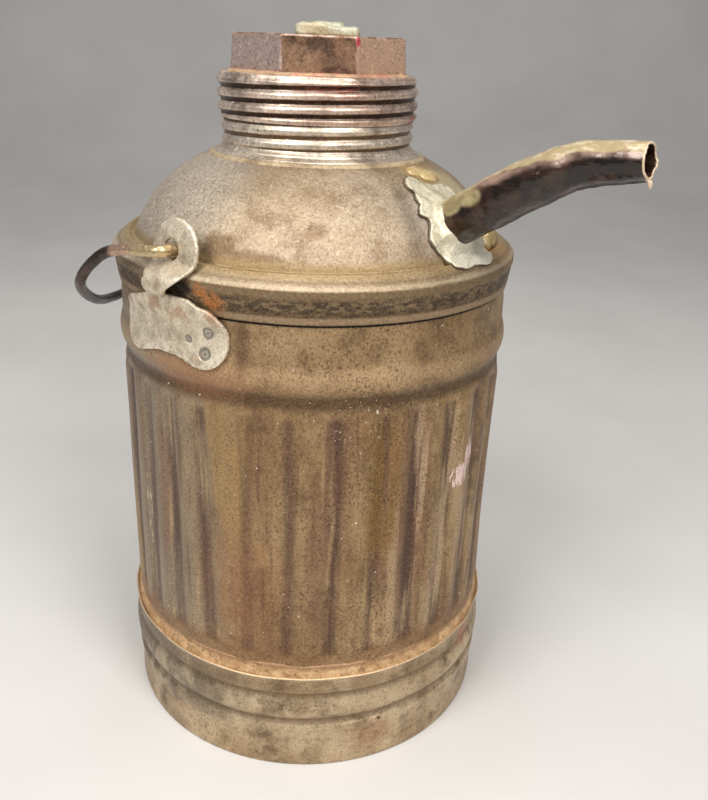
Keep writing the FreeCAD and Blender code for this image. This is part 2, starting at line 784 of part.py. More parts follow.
def lug_plate():
    """Two-lobed plate bent to the can, with its upper edge flared over the skirt."""
    ring = spun_sheet("lug_ring", [
        ("Sizes.lug_inner_radius + Sizes.lug_tin + 1.5", "Sizes.seam_level - 25"),
        ("Sizes.lug_inner_radius + Sizes.lug_tin + 1.5", "Sizes.seam_level - 17.5"),
        ("Sizes.lug_inner_radius + Sizes.lug_tin", "Sizes.seam_level - 10"),
        ("Sizes.lug_inner_radius + Sizes.lug_tin", "Sizes.seam_level - 5"),
        ("Sizes.lug_inner_radius + Sizes.lug_tin + 1.6", "Sizes.seam_level - 0.8"),
        ("Sizes.lug_inner_radius + Sizes.lug_tin + 1.7", "Sizes.seam_level + 7"),
    ], "Sizes.lug_tin")
    lobes = front_prism("lug_lobes", [
        ("4.5", "Sizes.seam_level + 5.2"),
        ("12.5", "Sizes.seam_level + 4.8"),
        ("16", "Sizes.seam_level + 3"),
        ("20", "Sizes.seam_level + 2.2", "9.4", "right"),
        ("26.2", "Sizes.seam_level - 8", "9.4", "right"),
        ("14.5", "Sizes.seam_level - 18.4", "30", "left"),
        ("1", "Sizes.seam_level - 15.8", "30", "left"),
        ("-11", "Sizes.seam_level - 18.4", "9.4", "right"),
        ("-23.8", "Sizes.seam_level - 9.5", "9.4", "right"),
        ("-17", "Sizes.seam_level + 0.8"),
        ("-9", "Sizes.seam_level + 3.2"),
        ("-4", "Sizes.seam_level + 5.2"),
    ])
    return pair_of("Common", "lug_plate", ring, lobes)


def lug_neck():
    """Narrow neck that folds out over the shoulder and carries the round ear in against the dome."""
    line = free_sketch("lug_neck_line", [
        ("Sizes.lug_inner_radius", "Sizes.seam_level - 9"),
        ("Sizes.lug_inner_radius", "Sizes.seam_level - 5"),
        ("Sizes.lug_inner_radius + 1.6", "Sizes.seam_level - 0.8"),
        ("Sizes.lug_inner_radius + 1.7", "Sizes.seam_level + 3.2", "2.2", "right"),
        ("Sizes.lug_inner_radius + 2.64", "Sizes.seam_level + 5.0"),
        ("Sizes.lug_inner_radius + 4.1", "Sizes.seam_level + 6.02", "3.2", "left"),
        ("Sizes.lug_inner_radius + 3.86", "Sizes.seam_level + 11.41"),
        ("Sizes.lug_inner_radius - 0.2", "Sizes.seam_level + 13.76", "4", "right"),
        ("Sizes.lug_inner_radius - 2.14", "Sizes.seam_level + 16.5"),
        ("Sizes.lug_inner_radius - 4.6", "Sizes.seam_level + 30"),
    ], False, SIDEWAYS)
    section = document.addObject("Part::Offset2D", "lug_neck_section")
    section.Source = line
    section.Mode = "Skin"
    section.Join = "Intersection"
    section.Fill = True
    section.setExpression("Value", "-Sizes.lug_tin")
    strip = document.addObject("Part::Extrusion", "lug_neck_strip")
    strip.Base = section
    strip.DirMode = "Custom"
    strip.Dir = X_AXIS
    strip.LengthFwd = 40
    strip.Symmetric = True
    strip.Solid = True
    centre = "Sizes.lug_disc_offset"
    radius = "Sizes.lug_disc_radius"
    slant = f"{radius} * sqrt(0.5)"
    ear = front_prism("lug_ear", [
        ("4.5", "Sizes.seam_level - 8"),
        ("4.5", "Sizes.seam_level + 5.2"),
        ("7.3", "Sizes.seam_level + 7.6"),
        (f"{centre} + {slant}", f"Sizes.lug_disc_level - {slant}", radius, "left"),
        (centre, f"Sizes.lug_disc_level + {radius}", radius, "left"),
        (f"{centre} - {slant}", f"Sizes.lug_disc_level - {slant}"),
        ("-4", "Sizes.seam_level + 8"),
        ("-4", "Sizes.seam_level - 8"),
    ])
    return pair_of("Common", "lug_neck", strip, ear)


def make_lugs():
    """Two equal lugs opposite each other, each with the hole that a bail end turns in."""
    blank = pair_of("Fuse", "lug_blank", lug_plate(), lug_neck())
    drill = document.addObject("Part::Cylinder", "lug_drill")
    drill.setExpression("Radius", "Sizes.lug_hole_radius")
    drill.Height = 100
    drill.Placement.Rotation = UPRIGHT
    drill.setExpression("Placement.Base.x", "Sizes.lug_hole_offset")
    drill.setExpression("Placement.Base.z", "Sizes.lug_hole_level")
    left = keep(pair_of("Cut", "lug_left", blank, drill), "lug_left")
    right = document.addObject("Part::Mirroring", "lug_right")
    right.Source = left
    right.Normal = FreeCAD.Vector(0, 1, 0)
    document.recompute()
    keep(right, "lug_right")


# Bail

# Half of the bail at -Y: X, distance from the middle plane, height over the pivot
BAIL_LINE = [(-12.0, 81.2, -1.6), (-25.0, 82.3, -4.3), (-35.0, 82.3, -10.6), (-45.0, 79.8, -19.3),
             (-57.0, 70.6, -28.2), (-71.0, 56.2, -36.4), (-84.0, 40.5, -41.6), (-93.5, 21.5, -43.8),
             (-97.5, 0.0, -44.6)]


def rounded_path(points, radii):
    """Straight runs joined by tangent arcs; radii holds one entry for each inner point."""
    edges = []
    last = points[0]
    for number in range(1, len(points) - 1):
        before = (points[number - 1] - points[number]).normalize()
        after = (points[number + 1] - points[number]).normalize()
        half_turn = (math.pi - before.getAngle(after)) / 2
        cut = radii[number - 1] * math.tan(half_turn)
        start = points[number] + before * cut
        stop = points[number] + after * cut
        inward = (before + after).normalize()
        centre = points[number] + inward * (radii[number - 1] / math.cos(half_turn))
        middle = centre - inward * radii[number - 1]
        if (start - last).Length > 1e-3:
            edges.append(Part.LineSegment(last, start).toShape())
        edges.append(Part.Arc(start, middle, stop).toShape())
        last = stop
    edges.append(Part.LineSegment(last, points[-1]).toShape())
    return Part.Wire(edges)


def make_bail_wire():
    """One wire: both ends turn in through the lugs and the loop lies folded back behind the can."""
    pivot = size("lug_hole_level")
    offset = size("lug_hole_offset")
    half = [FreeCAD.Vector(offset, -size("bail_pin_inner"), pivot)]
    half.append(FreeCAD.Vector(offset, -size("bail_leg_offset"), pivot))
    half += [FreeCAD.Vector(x, -out, pivot + rise) for x, out, rise in BAIL_LINE]
    points = half + [FreeCAD.Vector(point.x, -point.y, point.z) for point in reversed(half[:-1])]
    radii = []
    for number in range(1, len(points) - 1):
        before = points[number - 1] - points[number]
        after = points[number + 1] - points[number]
        half_turn = (math.pi - before.getAngle(after)) / 2
        radii.append(min(0.45 * min(before.Length, after.Length) / math.tan(half_turn), 120.0))
    radii[0] = radii[-1] = 2 * size("wire_radius")
    path = rounded_path(points, radii)
    section = Part.Wire([Part.makeCircle(size("wire_radius"), points[0], FreeCAD.Vector(0, -1, 0))])
    wire = path.makePipeShell([section], True, False)
    ends = (math.pi * size("wire_radius") ** 2) * path.Length
    if abs(wire.Volume / ends - 1) > 0.02:
        raise RuntimeError("the bail's volume is not its section times its length")
    feature("bail_wire", wire)


make_base_band()
make_bottom_plate()
make_solder_rings()
make_body_shell()
make_neck_ring()
make_cap_ring()
make_gasket()
make_dome_top()
make_spout_tube()
make_spout_patch()
make_spout_sealant()
make_cap_crown()
make_crown_solder()
make_crown_patch()
make_lugs()
make_bail_wire()


def check_model():
    """Stops on any failed object and on any sub-part without a sound shape."""
    document.recompute()
    for item in document.Objects:
        if "Invalid" in item.State or "Error" in item.State:
            raise RuntimeError(f"{item.Name} did not recompute: {item.State}")
    for item in subparts:
        if item.Shape.isNull() or not item.Shape.isValid():
            raise RuntimeError(f"{item.Label} has no valid shape")


def write_parts():
    """Writes each sub-part to its own STEP file."""
    os.makedirs("parts", exist_ok=True)
    for item in subparts:
        item.Shape.exportStep(f"parts/{item.Label}.step")
        print(f"{item.Label}: {item.Shape.Volume:.0f} mm3, {len(item.Shape.Solids)} solid(s)")


check_model()
write_parts()
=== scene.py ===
"""Looks of an old sheet-metal oil can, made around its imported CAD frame.

Blender works in metres. The shape functions here work in millimetres, and MM turns them into
metres when a mesh is made. Z points up, the spout points to +X and the bail turns about Y.
"""
import json
import math

import bmesh
import bpy
import numpy as np
from mathutils import Matrix, Vector, noise


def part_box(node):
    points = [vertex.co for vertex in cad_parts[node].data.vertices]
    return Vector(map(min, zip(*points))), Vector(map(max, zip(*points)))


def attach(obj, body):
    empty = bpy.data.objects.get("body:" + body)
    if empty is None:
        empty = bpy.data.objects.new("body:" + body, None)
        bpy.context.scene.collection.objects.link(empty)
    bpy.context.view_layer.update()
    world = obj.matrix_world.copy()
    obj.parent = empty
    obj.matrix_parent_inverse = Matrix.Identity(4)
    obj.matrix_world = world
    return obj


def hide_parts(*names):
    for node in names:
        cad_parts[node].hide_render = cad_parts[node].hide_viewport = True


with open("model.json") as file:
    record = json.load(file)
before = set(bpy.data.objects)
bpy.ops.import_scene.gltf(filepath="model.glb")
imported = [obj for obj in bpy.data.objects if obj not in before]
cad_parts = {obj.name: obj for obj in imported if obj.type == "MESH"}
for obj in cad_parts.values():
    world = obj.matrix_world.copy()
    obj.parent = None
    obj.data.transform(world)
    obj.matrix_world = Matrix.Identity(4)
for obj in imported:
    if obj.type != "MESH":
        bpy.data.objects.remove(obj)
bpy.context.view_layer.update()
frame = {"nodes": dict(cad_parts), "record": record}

# Without a seed of its own, noise_vector takes its offsets from the clock
noise.seed_set(1)

MM = 0.001
FULL_TURN = 2 * math.pi


def low(node, axis=2):
    """Lowest coordinate of a CAD node along one axis, in millimetres."""
    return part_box(node)[0][axis] / MM


def high(node, axis=2):
    """Highest coordinate of a CAD node along one axis, in millimetres."""
    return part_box(node)[1][axis] / MM


# Driving levels and radii, from the frame
SEAM = low("dome_top")
BAND_LIP = high("base_band")
BAND_RADIUS = high("base_band", 0) - 0.6
FLUTE_FOOT = high("foot_solder")
FLUTE_HEAD = SEAM - 30
BODY_FOOT = low("body_shell")
BODY_HEAD = high("body_shell")
BODY_RADIUS = high("body_shell", 0) - 1.5
SHOULDER_RADIUS = high("dome_top", 0)
NECK_FOOT = low("neck_ring")
NECK_MOUTH = high("neck_ring")
CAP_LIP = low("cap_ring")
CAP_TOP = high("cap_ring")
CROWN_TOP = high("cap_crown")
PIVOT = frame["record"]["behaviour"]["joints"][2]["pos_m"][2] / MM
NECK_CREST = NECK_FOOT + 10.7
CAP_CREST = CAP_LIP + 5.5

# Threads, the radius of the neck's foot, and the crown's apothem and first corner in degrees
THREAD_PITCH = 4.5
NECK_ROOT = 39.9
CROWN_FOOT = 31.4
CROWN_CORNER = -71.5

# The dome's outline is an arc from its foot up to its head, above a ledge that slopes outwards
DOME_FOOT = (SHOULDER_RADIUS - 8.7, SEAM + 16.0)
DOME_HEAD = (40.0, SEAM + 45.0)
DOME_ARC = 49.7
LEDGE_EDGE = (SHOULDER_RADIUS - 5.1, SEAM + 15.9)

# Smooth steps, noise and dents. Angles are radians about Z from +X.


def ease(value, start, stop):
    """0 before start, 1 after stop and a smooth rise between."""
    share = np.clip((value - start) / (stop - start), 0.0, 1.0)
    return share * share * (3 - 2 * share)


def window(value, start, stop, fade):
    """1 between start and stop, falling to 0 at both ends over the fade's length."""
    return ease(value, start, start + fade) * (1 - ease(value, stop - fade, stop))


def waver(angle, level, seed, fewest=2, most=9, pitch=70.0):
    """Slow unevenness, about -1 to 1, that closes on itself around the can."""
    random = np.random.default_rng(seed)
    total = np.zeros(np.broadcast(angle, level).shape)
    waves = 9
    for _ in range(waves):
        turns = random.integers(fewest, most)
        rise = random.uniform(-1, 1) * FULL_TURN / pitch
        total += np.cos(turns * angle + rise * level + random.uniform(0, FULL_TURN))
    return total / math.sqrt(waves)


def turn_gap(angle, degrees):
    """Signed angle from a direction, in radians between -pi and pi."""
    return (angle - math.radians(degrees) + math.pi) % FULL_TURN - math.pi


def dents(angle, radius, level, spots):
    """Smooth dents, each a spot of depth, degrees, level, half width and half height."""
    total = 0.0
    for depth, degrees, height, wide, tall in spots:
        across = radius * turn_gap(angle, degrees) / wide
        along = (level - height) / tall
        total = total + depth * np.exp(-across * across - along * along)
    return total


def roughen(points, size, reach, seed):
    """Adds smooth noise of a feature size to points, up to about reach in each direction."""
    moved = np.array(points, float)
    flat = moved.reshape(-1, 3)
    shift = Vector((seed * 17.3, seed * 5.1, seed * 9.7))
    for row in flat:
        row += np.array(noise.noise_vector(Vector(row) / size + shift)) * reach
    return moved


# Outlines


def arc_centre(first, last, radius, side):
    """Centre of the smaller arc between two points, which turns left where side is 1."""
    first, last = np.array(first), np.array(last)
    chord = np.linalg.norm(last - first)
    along = (last - first) / chord
    depth = side * math.sqrt(max(radius ** 2 - chord ** 2 / 4, 0.0))
    return (first + last) / 2 + depth * np.array([-along[1], along[0]])


def arc_points(first, last, radius, side, step):
    """Points of the smaller arc between two points, without its last point."""
    centre = arc_centre(first, last, radius, side)
    start = math.atan2(*(np.array(first) - centre)[::-1])
    sweep = 2 * side * math.asin(min(math.dist(first, last) / 2 / radius, 1.0))
    count = max(6, math.ceil(abs(sweep) * radius / step))
    turns = start + sweep * np.arange(count) / count
    return centre + radius * np.stack([np.cos(turns), np.sin(turns)], axis=1)


def outline(corners, step=1.2):
    """Points along corners, closer together at each one.

    A corner is (radius, level), or (radius, level, arc radius, side) where an arc leaves it.
    """
    runs = []
    for first, last in zip(corners, corners[1:]):
        if len(first) == 4:
            side = 1 if first[3] == "left" else -1
            runs.append(arc_points(first[:2], last[:2], first[2], side, step))
            continue
        length = math.dist(first[:2], last[:2])
        count = max(4, math.ceil(length / step))
        share = (1 - np.cos(np.pi * np.arange(count) / count))[:, None] / 2
        runs.append(np.array(first[:2]) * (1 - share) + np.array(last[:2]) * share)
    runs.append(np.array([corners[-1][:2]]))
    return np.vstack(runs)


def sheet_loop(path, wall, skip):
    """Closed section of a sheet with worn edges; skip thins out the points of its inner face."""
    along = np.gradient(path, axis=0)
    along /= np.linalg.norm(along, axis=1)[:, None]
    inward = np.stack([-along[:, 1], along[:, 0]], axis=1)
    inner = path + inward * wall
    head = path[-1] + inward[-1] * wall / 2 + along[-1] * wall * 0.3
    foot = path[0] + inward[0] * wall / 2 - along[0] * wall * 0.3
    back = np.vstack([inner[::-1][:-1:skip], inner[:1]])
    return np.vstack([path, head, back, foot])


def smooth_line(points, count):
    """A Catmull-Rom curve through points, as evenly shared parameter steps."""
    points = np.array(points, float)
    padded = np.vstack([2 * points[0] - points[1], points, 2 * points[-1] - points[-2]])
    places = np.linspace(0, len(points) - 1, count)
    first = np.minimum(places.astype(int), len(points) - 2)
    part = (places - first)[:, None]
    before, here, after, beyond = (padded[first + offset] for offset in range(4))
    return 0.5 * (2 * here + (after - before) * part
                  + (2 * before - 5 * here + 4 * after - beyond) * part ** 2
                  + (3 * here - before - 3 * after + beyond) * part ** 3)


# Meshes


def grid_faces(rows, columns, loop_rows):
    """Quads over rows of looped columns; looped rows join the last row to the first."""
    first = np.arange(rows if loop_rows else rows - 1)[:, None] * columns
    after = (first + columns) % (rows * columns)
    column = np.arange(columns)[None, :]
    beside = (column + 1) % columns
    quads = np.stack([first + column, first + beside, after + beside, after + column], axis=-1)
    return quads.reshape(-1, 4)


def new_piece(name, mesh):
    """An object for a mesh, linked into the scene."""
    piece = bpy.data.objects.new(name, mesh)
    bpy.context.scene.collection.objects.link(piece)
    return piece


def store_hollow(mesh, hollow):
    """Stores a hollow value for each of a mesh's points, for its material."""
    made = mesh.attributes.new("hollow", "FLOAT", "POINT")
    made.data.foreach_set("value", np.ravel(hollow))


def grid_piece(name, grids, loop_rows=True, hollow=None):
    """One mesh piece from grids of points in millimetres, with an optional hollow value.

    A grid with looped rows is a ring-shaped shell. Otherwise a face closes its first row and
    another its last.
    """
    points, faces, start = [], [], 0
    for grid in grids:
        rows, columns = grid.shape[:2]
        faces += (grid_faces(rows, columns, loop_rows) + start).tolist()
        if not loop_rows:
            faces.append(list(range(start, start + columns)))
            faces.append(list(range(start + (rows - 1) * columns, start + rows * columns)))
        points.append(grid.reshape(-1, 3))
        start += rows * columns
    mesh = bpy.data.meshes.new(name)
    mesh.from_pydata((np.vstack(points) * MM).tolist(), [], faces)
    if hollow is not None:
        store_hollow(mesh, hollow)
    work = bmesh.new()
    work.from_mesh(mesh)
    bmesh.ops.recalc_face_normals(work, faces=work.faces)
    work.to_mesh(mesh)
    work.free()
    mesh.shade_smooth()
    return new_piece(name, mesh)


def turned(loop, columns, move):
    """Points of a (radius, level) section turned about Z and moved along the radius.

    Returns the points with their angles and levels.
    """
    angle = np.linspace(0, FULL_TURN, columns, endpoint=False)[None, :]
    angle, radius, level = np.broadcast_arrays(angle, loop[:, :1], loop[:, 1:])
    radius = radius + move(angle, radius, level)
    points = np.stack([radius * np.cos(angle), radius * np.sin(angle), level], axis=-1)
    return points, angle, level


def apply_modifiers(piece):
    """Replaces a piece's mesh by its modified mesh."""
    evaluated = piece.evaluated_get(bpy.context.evaluated_depsgraph_get())
    mesh = bpy.data.meshes.new_from_object(evaluated)
    piece.modifiers.clear()
    piece.data = mesh
    mesh.shade_smooth()


def remeshed(piece, voxel, passes):
    """Melts a piece's shells into one even mesh and wears its edges round."""
    even = piece.modifiers.new("even", "REMESH")
    even.mode = "VOXEL"
    even.voxel_size = voxel * MM
    soft = piece.modifiers.new("soft", "SMOOTH")
    soft.iterations = passes
    apply_modifiers(piece)
    return piece


def place(piece, material, body, slot, *nodes):
    """Gives a piece its material, its CAD nodes to stand for and its body. The slot is not used."""
    piece.data.materials.clear()
    piece.data.materials.append(material)
    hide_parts(*nodes)
    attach(piece, body)
    return piece


# Materials


def tint(red, green, blue):
    """A colour given in display values from 0 to 255, as linear light."""
    linear = []
    for value in (red, green, blue):
        share = value / 255
        linear.append(share / 12.92 if share <= 0.04045 else ((share + 0.055) / 1.055) ** 2.4)
    return (*linear, 1.0)


class Look:
    """Builds one material, whose colour is painted in layers.

    Methods that make a value return its socket, so that it can go into another method.
    """

    def __init__(self, name):
        self.material = bpy.data.materials.new(name)
        self.material.use_nodes = True
        self.tree = self.material.node_tree
        self.shader = self.tree.nodes["Principled BSDF"]
        self.spot_of = self.node("ShaderNodeTexCoord").outputs["Object"]
        self.colour = None

    def node(self, kind, **settings):
        """A new node with its settings."""
        made = self.tree.nodes.new(kind)
        for key, value in settings.items():
            setattr(made, key, value)
        return made

    def feed(self, socket, value):
        """Links a socket, or sets a plain value."""
        if isinstance(value, bpy.types.NodeSocket):
            self.tree.links.new(value, socket)
        else:
            socket.default_value = value

    def math(self, operation, *values, clamp=False):
        """An operation on one or two values."""
        made = self.node("ShaderNodeMath", operation=operation, use_clamp=clamp)
        for socket, value in zip(made.inputs, values):
            self.feed(socket, value)
        return made.outputs[0]

    def vector_math(self, operation, *values):
        """The node of an operation on one or two vectors."""
        made = self.node("ShaderNodeVectorMath", operation=operation)
        for socket, value in zip(made.inputs, values):
            self.feed(socket, value)
        return made

    def both(self, *shares):
        """The product of shares."""
        total = shares[0]
        for share in shares[1:]:
            total = self.math("MULTIPLY", total, share)
        return total

    def plus(self, value, noise, amount):
        """A value made to wander by an amount of noise."""
        return self.math("ADD", value, self.math("MULTIPLY", noise, amount))

    def noise(self, size, detail=4.0, stretch=(1, 1, 1), roughness=0.55, offset=0.0):
        """Noise of a feature size in millimetres; stretch lengthens the features along an axis."""
        moved = self.node("ShaderNodeMapping", vector_type="POINT")
        self.feed(moved.inputs["Vector"], self.spot_of)
        moved.inputs["Scale"].default_value = [1 / (size * MM * factor) for factor in stretch]
        moved.inputs["Location"].default_value = (offset, offset * 1.7, offset * 0.6)
        made = self.node("ShaderNodeTexNoise")
        self.feed(made.inputs["Vector"], moved.outputs[0])
        made.inputs["Scale"].default_value = 1.0
        made.inputs["Detail"].default_value = detail
        made.inputs["Roughness"].default_value = roughness
        return made.outputs["Fac"]

    def span(self, value, start, stop, top=1.0):
        """A smooth rise from 0 at start to top at stop; start above stop makes it fall."""
        made = self.node("ShaderNodeMapRange", interpolation_type="SMOOTHSTEP")
        self.feed(made.inputs["Value"], value)
        made.inputs["From Min"].default_value = start
        made.inputs["From Max"].default_value = stop
        made.inputs["To Max"].default_value = top
        return made.outputs[0]

    def blots(self, size, start, stop, top=1.0, **settings):
        """Patches where noise passes from start to stop, at most top."""
        return self.span(self.noise(size, **settings), start, stop, top)

    def along(self, axis):
        """A coordinate in millimetres."""
        split = self.node("ShaderNodeSeparateXYZ")
        self.feed(split.inputs[0], self.spot_of)
        return self.math("MULTIPLY", split.outputs[axis], 1 / MM)

    def zone(self, start, stop, fade):
        """1 between two levels, with soft edges."""
        level = self.along("Z")
        return self.both(self.span(level, start - fade, start + fade),
                         self.span(level, stop + fade, stop - fade))

    def side(self, degrees, wide, fade):
        """1 within an angle either side of a direction, with soft edges, all in degrees."""
        flat = self.vector_math("MULTIPLY", self.spot_of, (1, 1, 0)).outputs[0]
        unit = self.vector_math("NORMALIZE", flat).outputs[0]
        toward = (math.cos(math.radians(degrees)), math.sin(math.radians(degrees)), 0)
        share = self.vector_math("DOT_PRODUCT", unit, toward).outputs["Value"]
        outer = math.cos(math.radians(wide + fade))
        inner = math.cos(math.radians(max(wide - fade, 0)))
        return self.span(share, outer, inner)

    def near(self, point, reach, fade, ragged=0.0, stretch=(1, 1, 1), grain=3.0):
        """1 within reach of a point, in millimetres, with an edge made ragged by noise."""
        centre = [value * MM for value in point]
        offset = self.vector_math("SUBTRACT", self.spot_of, centre).outputs[0]
        scale = [1 / (factor * MM) for factor in stretch]
        scaled = self.vector_math("MULTIPLY", offset, scale).outputs[0]
        length = self.vector_math("LENGTH", scaled).outputs["Value"]
        if ragged:
            wave = self.math("SUBTRACT", self.noise(grain, 3, stretch), 0.5)
            length = self.plus(length, wave, ragged)
        return self.span(length, reach + fade, reach - fade)

    def hollow(self):
        """The stored hollow value of the surface."""
        return self.node("ShaderNodeAttribute", attribute_name="hollow").outputs["Fac"]

    def bump(self, height, reach, before=None):
        """A normal from heights of up to reach millimetres."""
        made = self.node("ShaderNodeBump")
        made.inputs["Distance"].default_value = reach * MM
        self.feed(made.inputs["Height"], height)
        if before is not None:
            self.feed(made.inputs["Normal"], before)
        return made.outputs[0]

    def paint(self, over, *shares, mode="MIX"):
        """Lays display values, or a colour socket, over the colour by the product of shares."""
        made = self.node("ShaderNodeMix", data_type="RGBA", blend_type=mode)
        self.feed(made.inputs[0], self.both(*shares))
        self.feed(made.inputs[6], self.colour)
        self.feed(made.inputs[7], over if isinstance(over, bpy.types.NodeSocket) else tint(*over))
        self.colour = made.outputs[2]

    def two_tone(self, first, second, *shares):
        """Starts the colour afresh as one mixed into another."""
        self.colour = tint(*first)
        self.paint(second, *shares)

    def patina(self, light, middle, dark, contrast=1.0):
        """Starts the colour as three tones of aged tin mixed by slow and fine noise."""
        self.two_tone(middle, light, self.blots(38, 0.35, 0.68))
        self.paint(dark, self.blots(11, 0.47, 0.72, 0.7 * contrast, offset=5.0))
        grain = self.noise(2.6, roughness=0.7, offset=2.0)
        self.paint(dark, self.span(grain, 0.52, 0.7, 0.45 * contrast))
        self.paint(light, self.span(grain, 0.46, 0.3, 0.4 * contrast))

    def speckle(self, dark, density, size=1.1):
        """Fine dark speckle, denser where a slow noise says so."""
        fine = self.plus(self.noise(size, roughness=0.7), self.noise(24, 2, offset=3.0), 0.16)
        self.paint(dark, self.span(fine, density + 0.02, density + 0.12, 0.75))

    def done(self, metallic, roughness, normal=None, **constants):
        """Wires the shader; constants are set on its own sockets."""
        self.feed(self.shader.inputs["Base Color"], self.colour)
        self.feed(self.shader.inputs["Metallic"], metallic)
        self.feed(self.shader.inputs["Roughness"], roughness)
        if normal is not None:
            self.feed(self.shader.inputs["Normal"], normal)
        for name, value in constants.items():
            self.shader.inputs[name.replace("_", " ")].default_value = value
        return self.material

    def worn(self, metallic, base=0.42, spread=0.2, relief=0.1):
        """Finishes worn metal with grain in the colour, uneven gloss and a fine relief."""
        dust = self.noise(0.8, 3, roughness=0.7, offset=8.0)
        self.paint((186, 175, 162), self.span(dust, 0.46, 0.7, 0.6), mode="MULTIPLY")
        self.paint((120, 108, 92), self.span(dust, 0.5, 0.34, 0.3), mode="SCREEN")
        grain = self.noise(1.4, 5, roughness=0.7, offset=4.0)
        rough = self.math("MULTIPLY", self.noise(7, offset=6.0), spread)
        rough = self.math("ADD", rough, base - spread / 2)
        rough = self.math("ADD", rough, self.math("MULTIPLY", grain, 0.12), clamp=True)
        shine = self.both(self.span(grain, 0.25, 0.5), metallic)
        return self.done(shine, rough, self.bump(grain, relief))


def body_look():
    """Fluted tin: khaki crests, purple-brown troughs, run marks, specks and a scraped patch."""
    look = Look("body_tin")
    look.patina((174, 147, 108), (146, 116, 80), (104, 77, 54))
    look.paint((148, 132, 112), look.side(-118, 32, 24), look.zone(50, 190, 20))
    # Run marks down the flutes
    fluted = look.zone(FLUTE_FOOT + 2, FLUTE_HEAD - 1, 3)
    wide = look.noise(13, 3, (1, 1, 9), offset=4.0)
    look.paint((124, 92, 70), look.span(wide, 0.52, 0.66, 0.55), fluted)
    look.paint((168, 138, 88), look.span(wide, 0.46, 0.34, 0.6), fluted)
    streak = look.noise(4.5, 5, (1, 1, 14), offset=1.0)
    trough = look.span(look.both(look.hollow(), fluted), 0.3, 0.85)
    look.paint((80, 55, 49), trough, look.span(streak, 0.3, 0.56), 0.9)
    look.paint((104, 74, 56), look.span(streak, 0.56, 0.7, 0.6), fluted)
    look.paint((188, 160, 118), look.span(streak, 0.44, 0.3, 0.6), fluted)
    run = look.span(streak, 0.74, 0.44, 0.7)
    look.paint((130, 98, 38), look.side(-29, 3.5, 3), look.zone(98, 150, 8), run)
    pale = look.span(streak, 0.52, 0.38, 0.55)
    look.paint((188, 162, 132), look.side(-8, 16, 8), look.zone(56, 152, 8), pale)
    look.paint((150, 98, 70), look.near((29, -72, 80), 13, 10, 12, (1, 1, 1.8)), 0.35)
    look.paint((178, 136, 90), look.near((35.9, -67.9, 98.8), 2.8, 1.2, 3, (1, 1, 1.5)), 0.45)
    # Groove, bead and foot
    # Dark brown in the groove, deepened with painted shade
    look.paint((78, 56, 34), look.zone(FLUTE_HEAD - 0.5, FLUTE_HEAD + 5, 2.2), 0.8)
    # Painted highlight along the crest of the bead
    look.paint((204, 172, 132), look.zone(FLUTE_HEAD + 9, FLUTE_HEAD + 14, 2.5), 0.5)
    look.paint((142, 106, 74), look.zone(BAND_LIP + 4.3, BAND_LIP + 11.3, 3), 0.6)
    # Painted shade in the troughs where the flutes end at their foot
    foot = look.zone(BAND_LIP + 7.3, BAND_LIP + 13.3, 3)
    look.paint((96, 68, 48), foot, look.span(look.hollow(), 0.2, 0.8), 0.5)
    # Dirt, rust, chips and a dark streak beside the lug
    drift = look.both(look.side(-25, 34, 24), look.blots(18, 0.3, 0.6, detail=3, offset=8.0))
    speck = look.blots(1.1, 0.5, 0.64, roughness=0.75, offset=7.0)
    look.paint((74, 50, 36), drift, speck, 0.75)
    look.speckle((80, 57, 42), 0.66)
    # Darker streak down the body along the lug's right edge
    look.paint((92, 64, 42), look.near((30, -70.5, 176), 3.2, 2.2, 3, (0.7, 1, 2.6)), 0.6)
    look.paint((168, 108, 70), look.near((13, -77, 166), 12, 8, 12, (1.5, 1.5, 0.6)), 0.4)
    scraped = look.math("MAXIMUM",
                        look.near((76.6, -2.2, 121.0), 5.2, 0.6, 4, (1, 1, 0.95), 1.6),
                        look.near((76.6, 3.2, 127.5), 3.6, 0.6, 4, (1, 1, 1.9), 1.6))
    bristle = look.blots(0.9, 0.42, 0.48, detail=2, stretch=(1, 1, 12), offset=2.5)
    look.paint((236, 208, 200), scraped, bristle)
    chips = look.blots(1.3, 0.68, 0.7, detail=1, offset=4.5)
    look.paint((226, 212, 190), look.near((62, -44, 154), 9, 6, 6), chips)
    broken = look.blots(1.6, 0.56, 0.6, detail=3, stretch=(1, 1, 5))
    look.paint((220, 206, 172), look.side(-105, 0.9, 0.5), look.zone(72, 114, 4), broken, 0.8)
    look.paint((228, 218, 206), look.blots(1.6, 0.775, 0.795, detail=1, offset=9.0))
    look.paint((20, 13, 9), look.zone(SEAM - 0.9, SEAM + 3, 0.25))
    return look.worn(0.62)


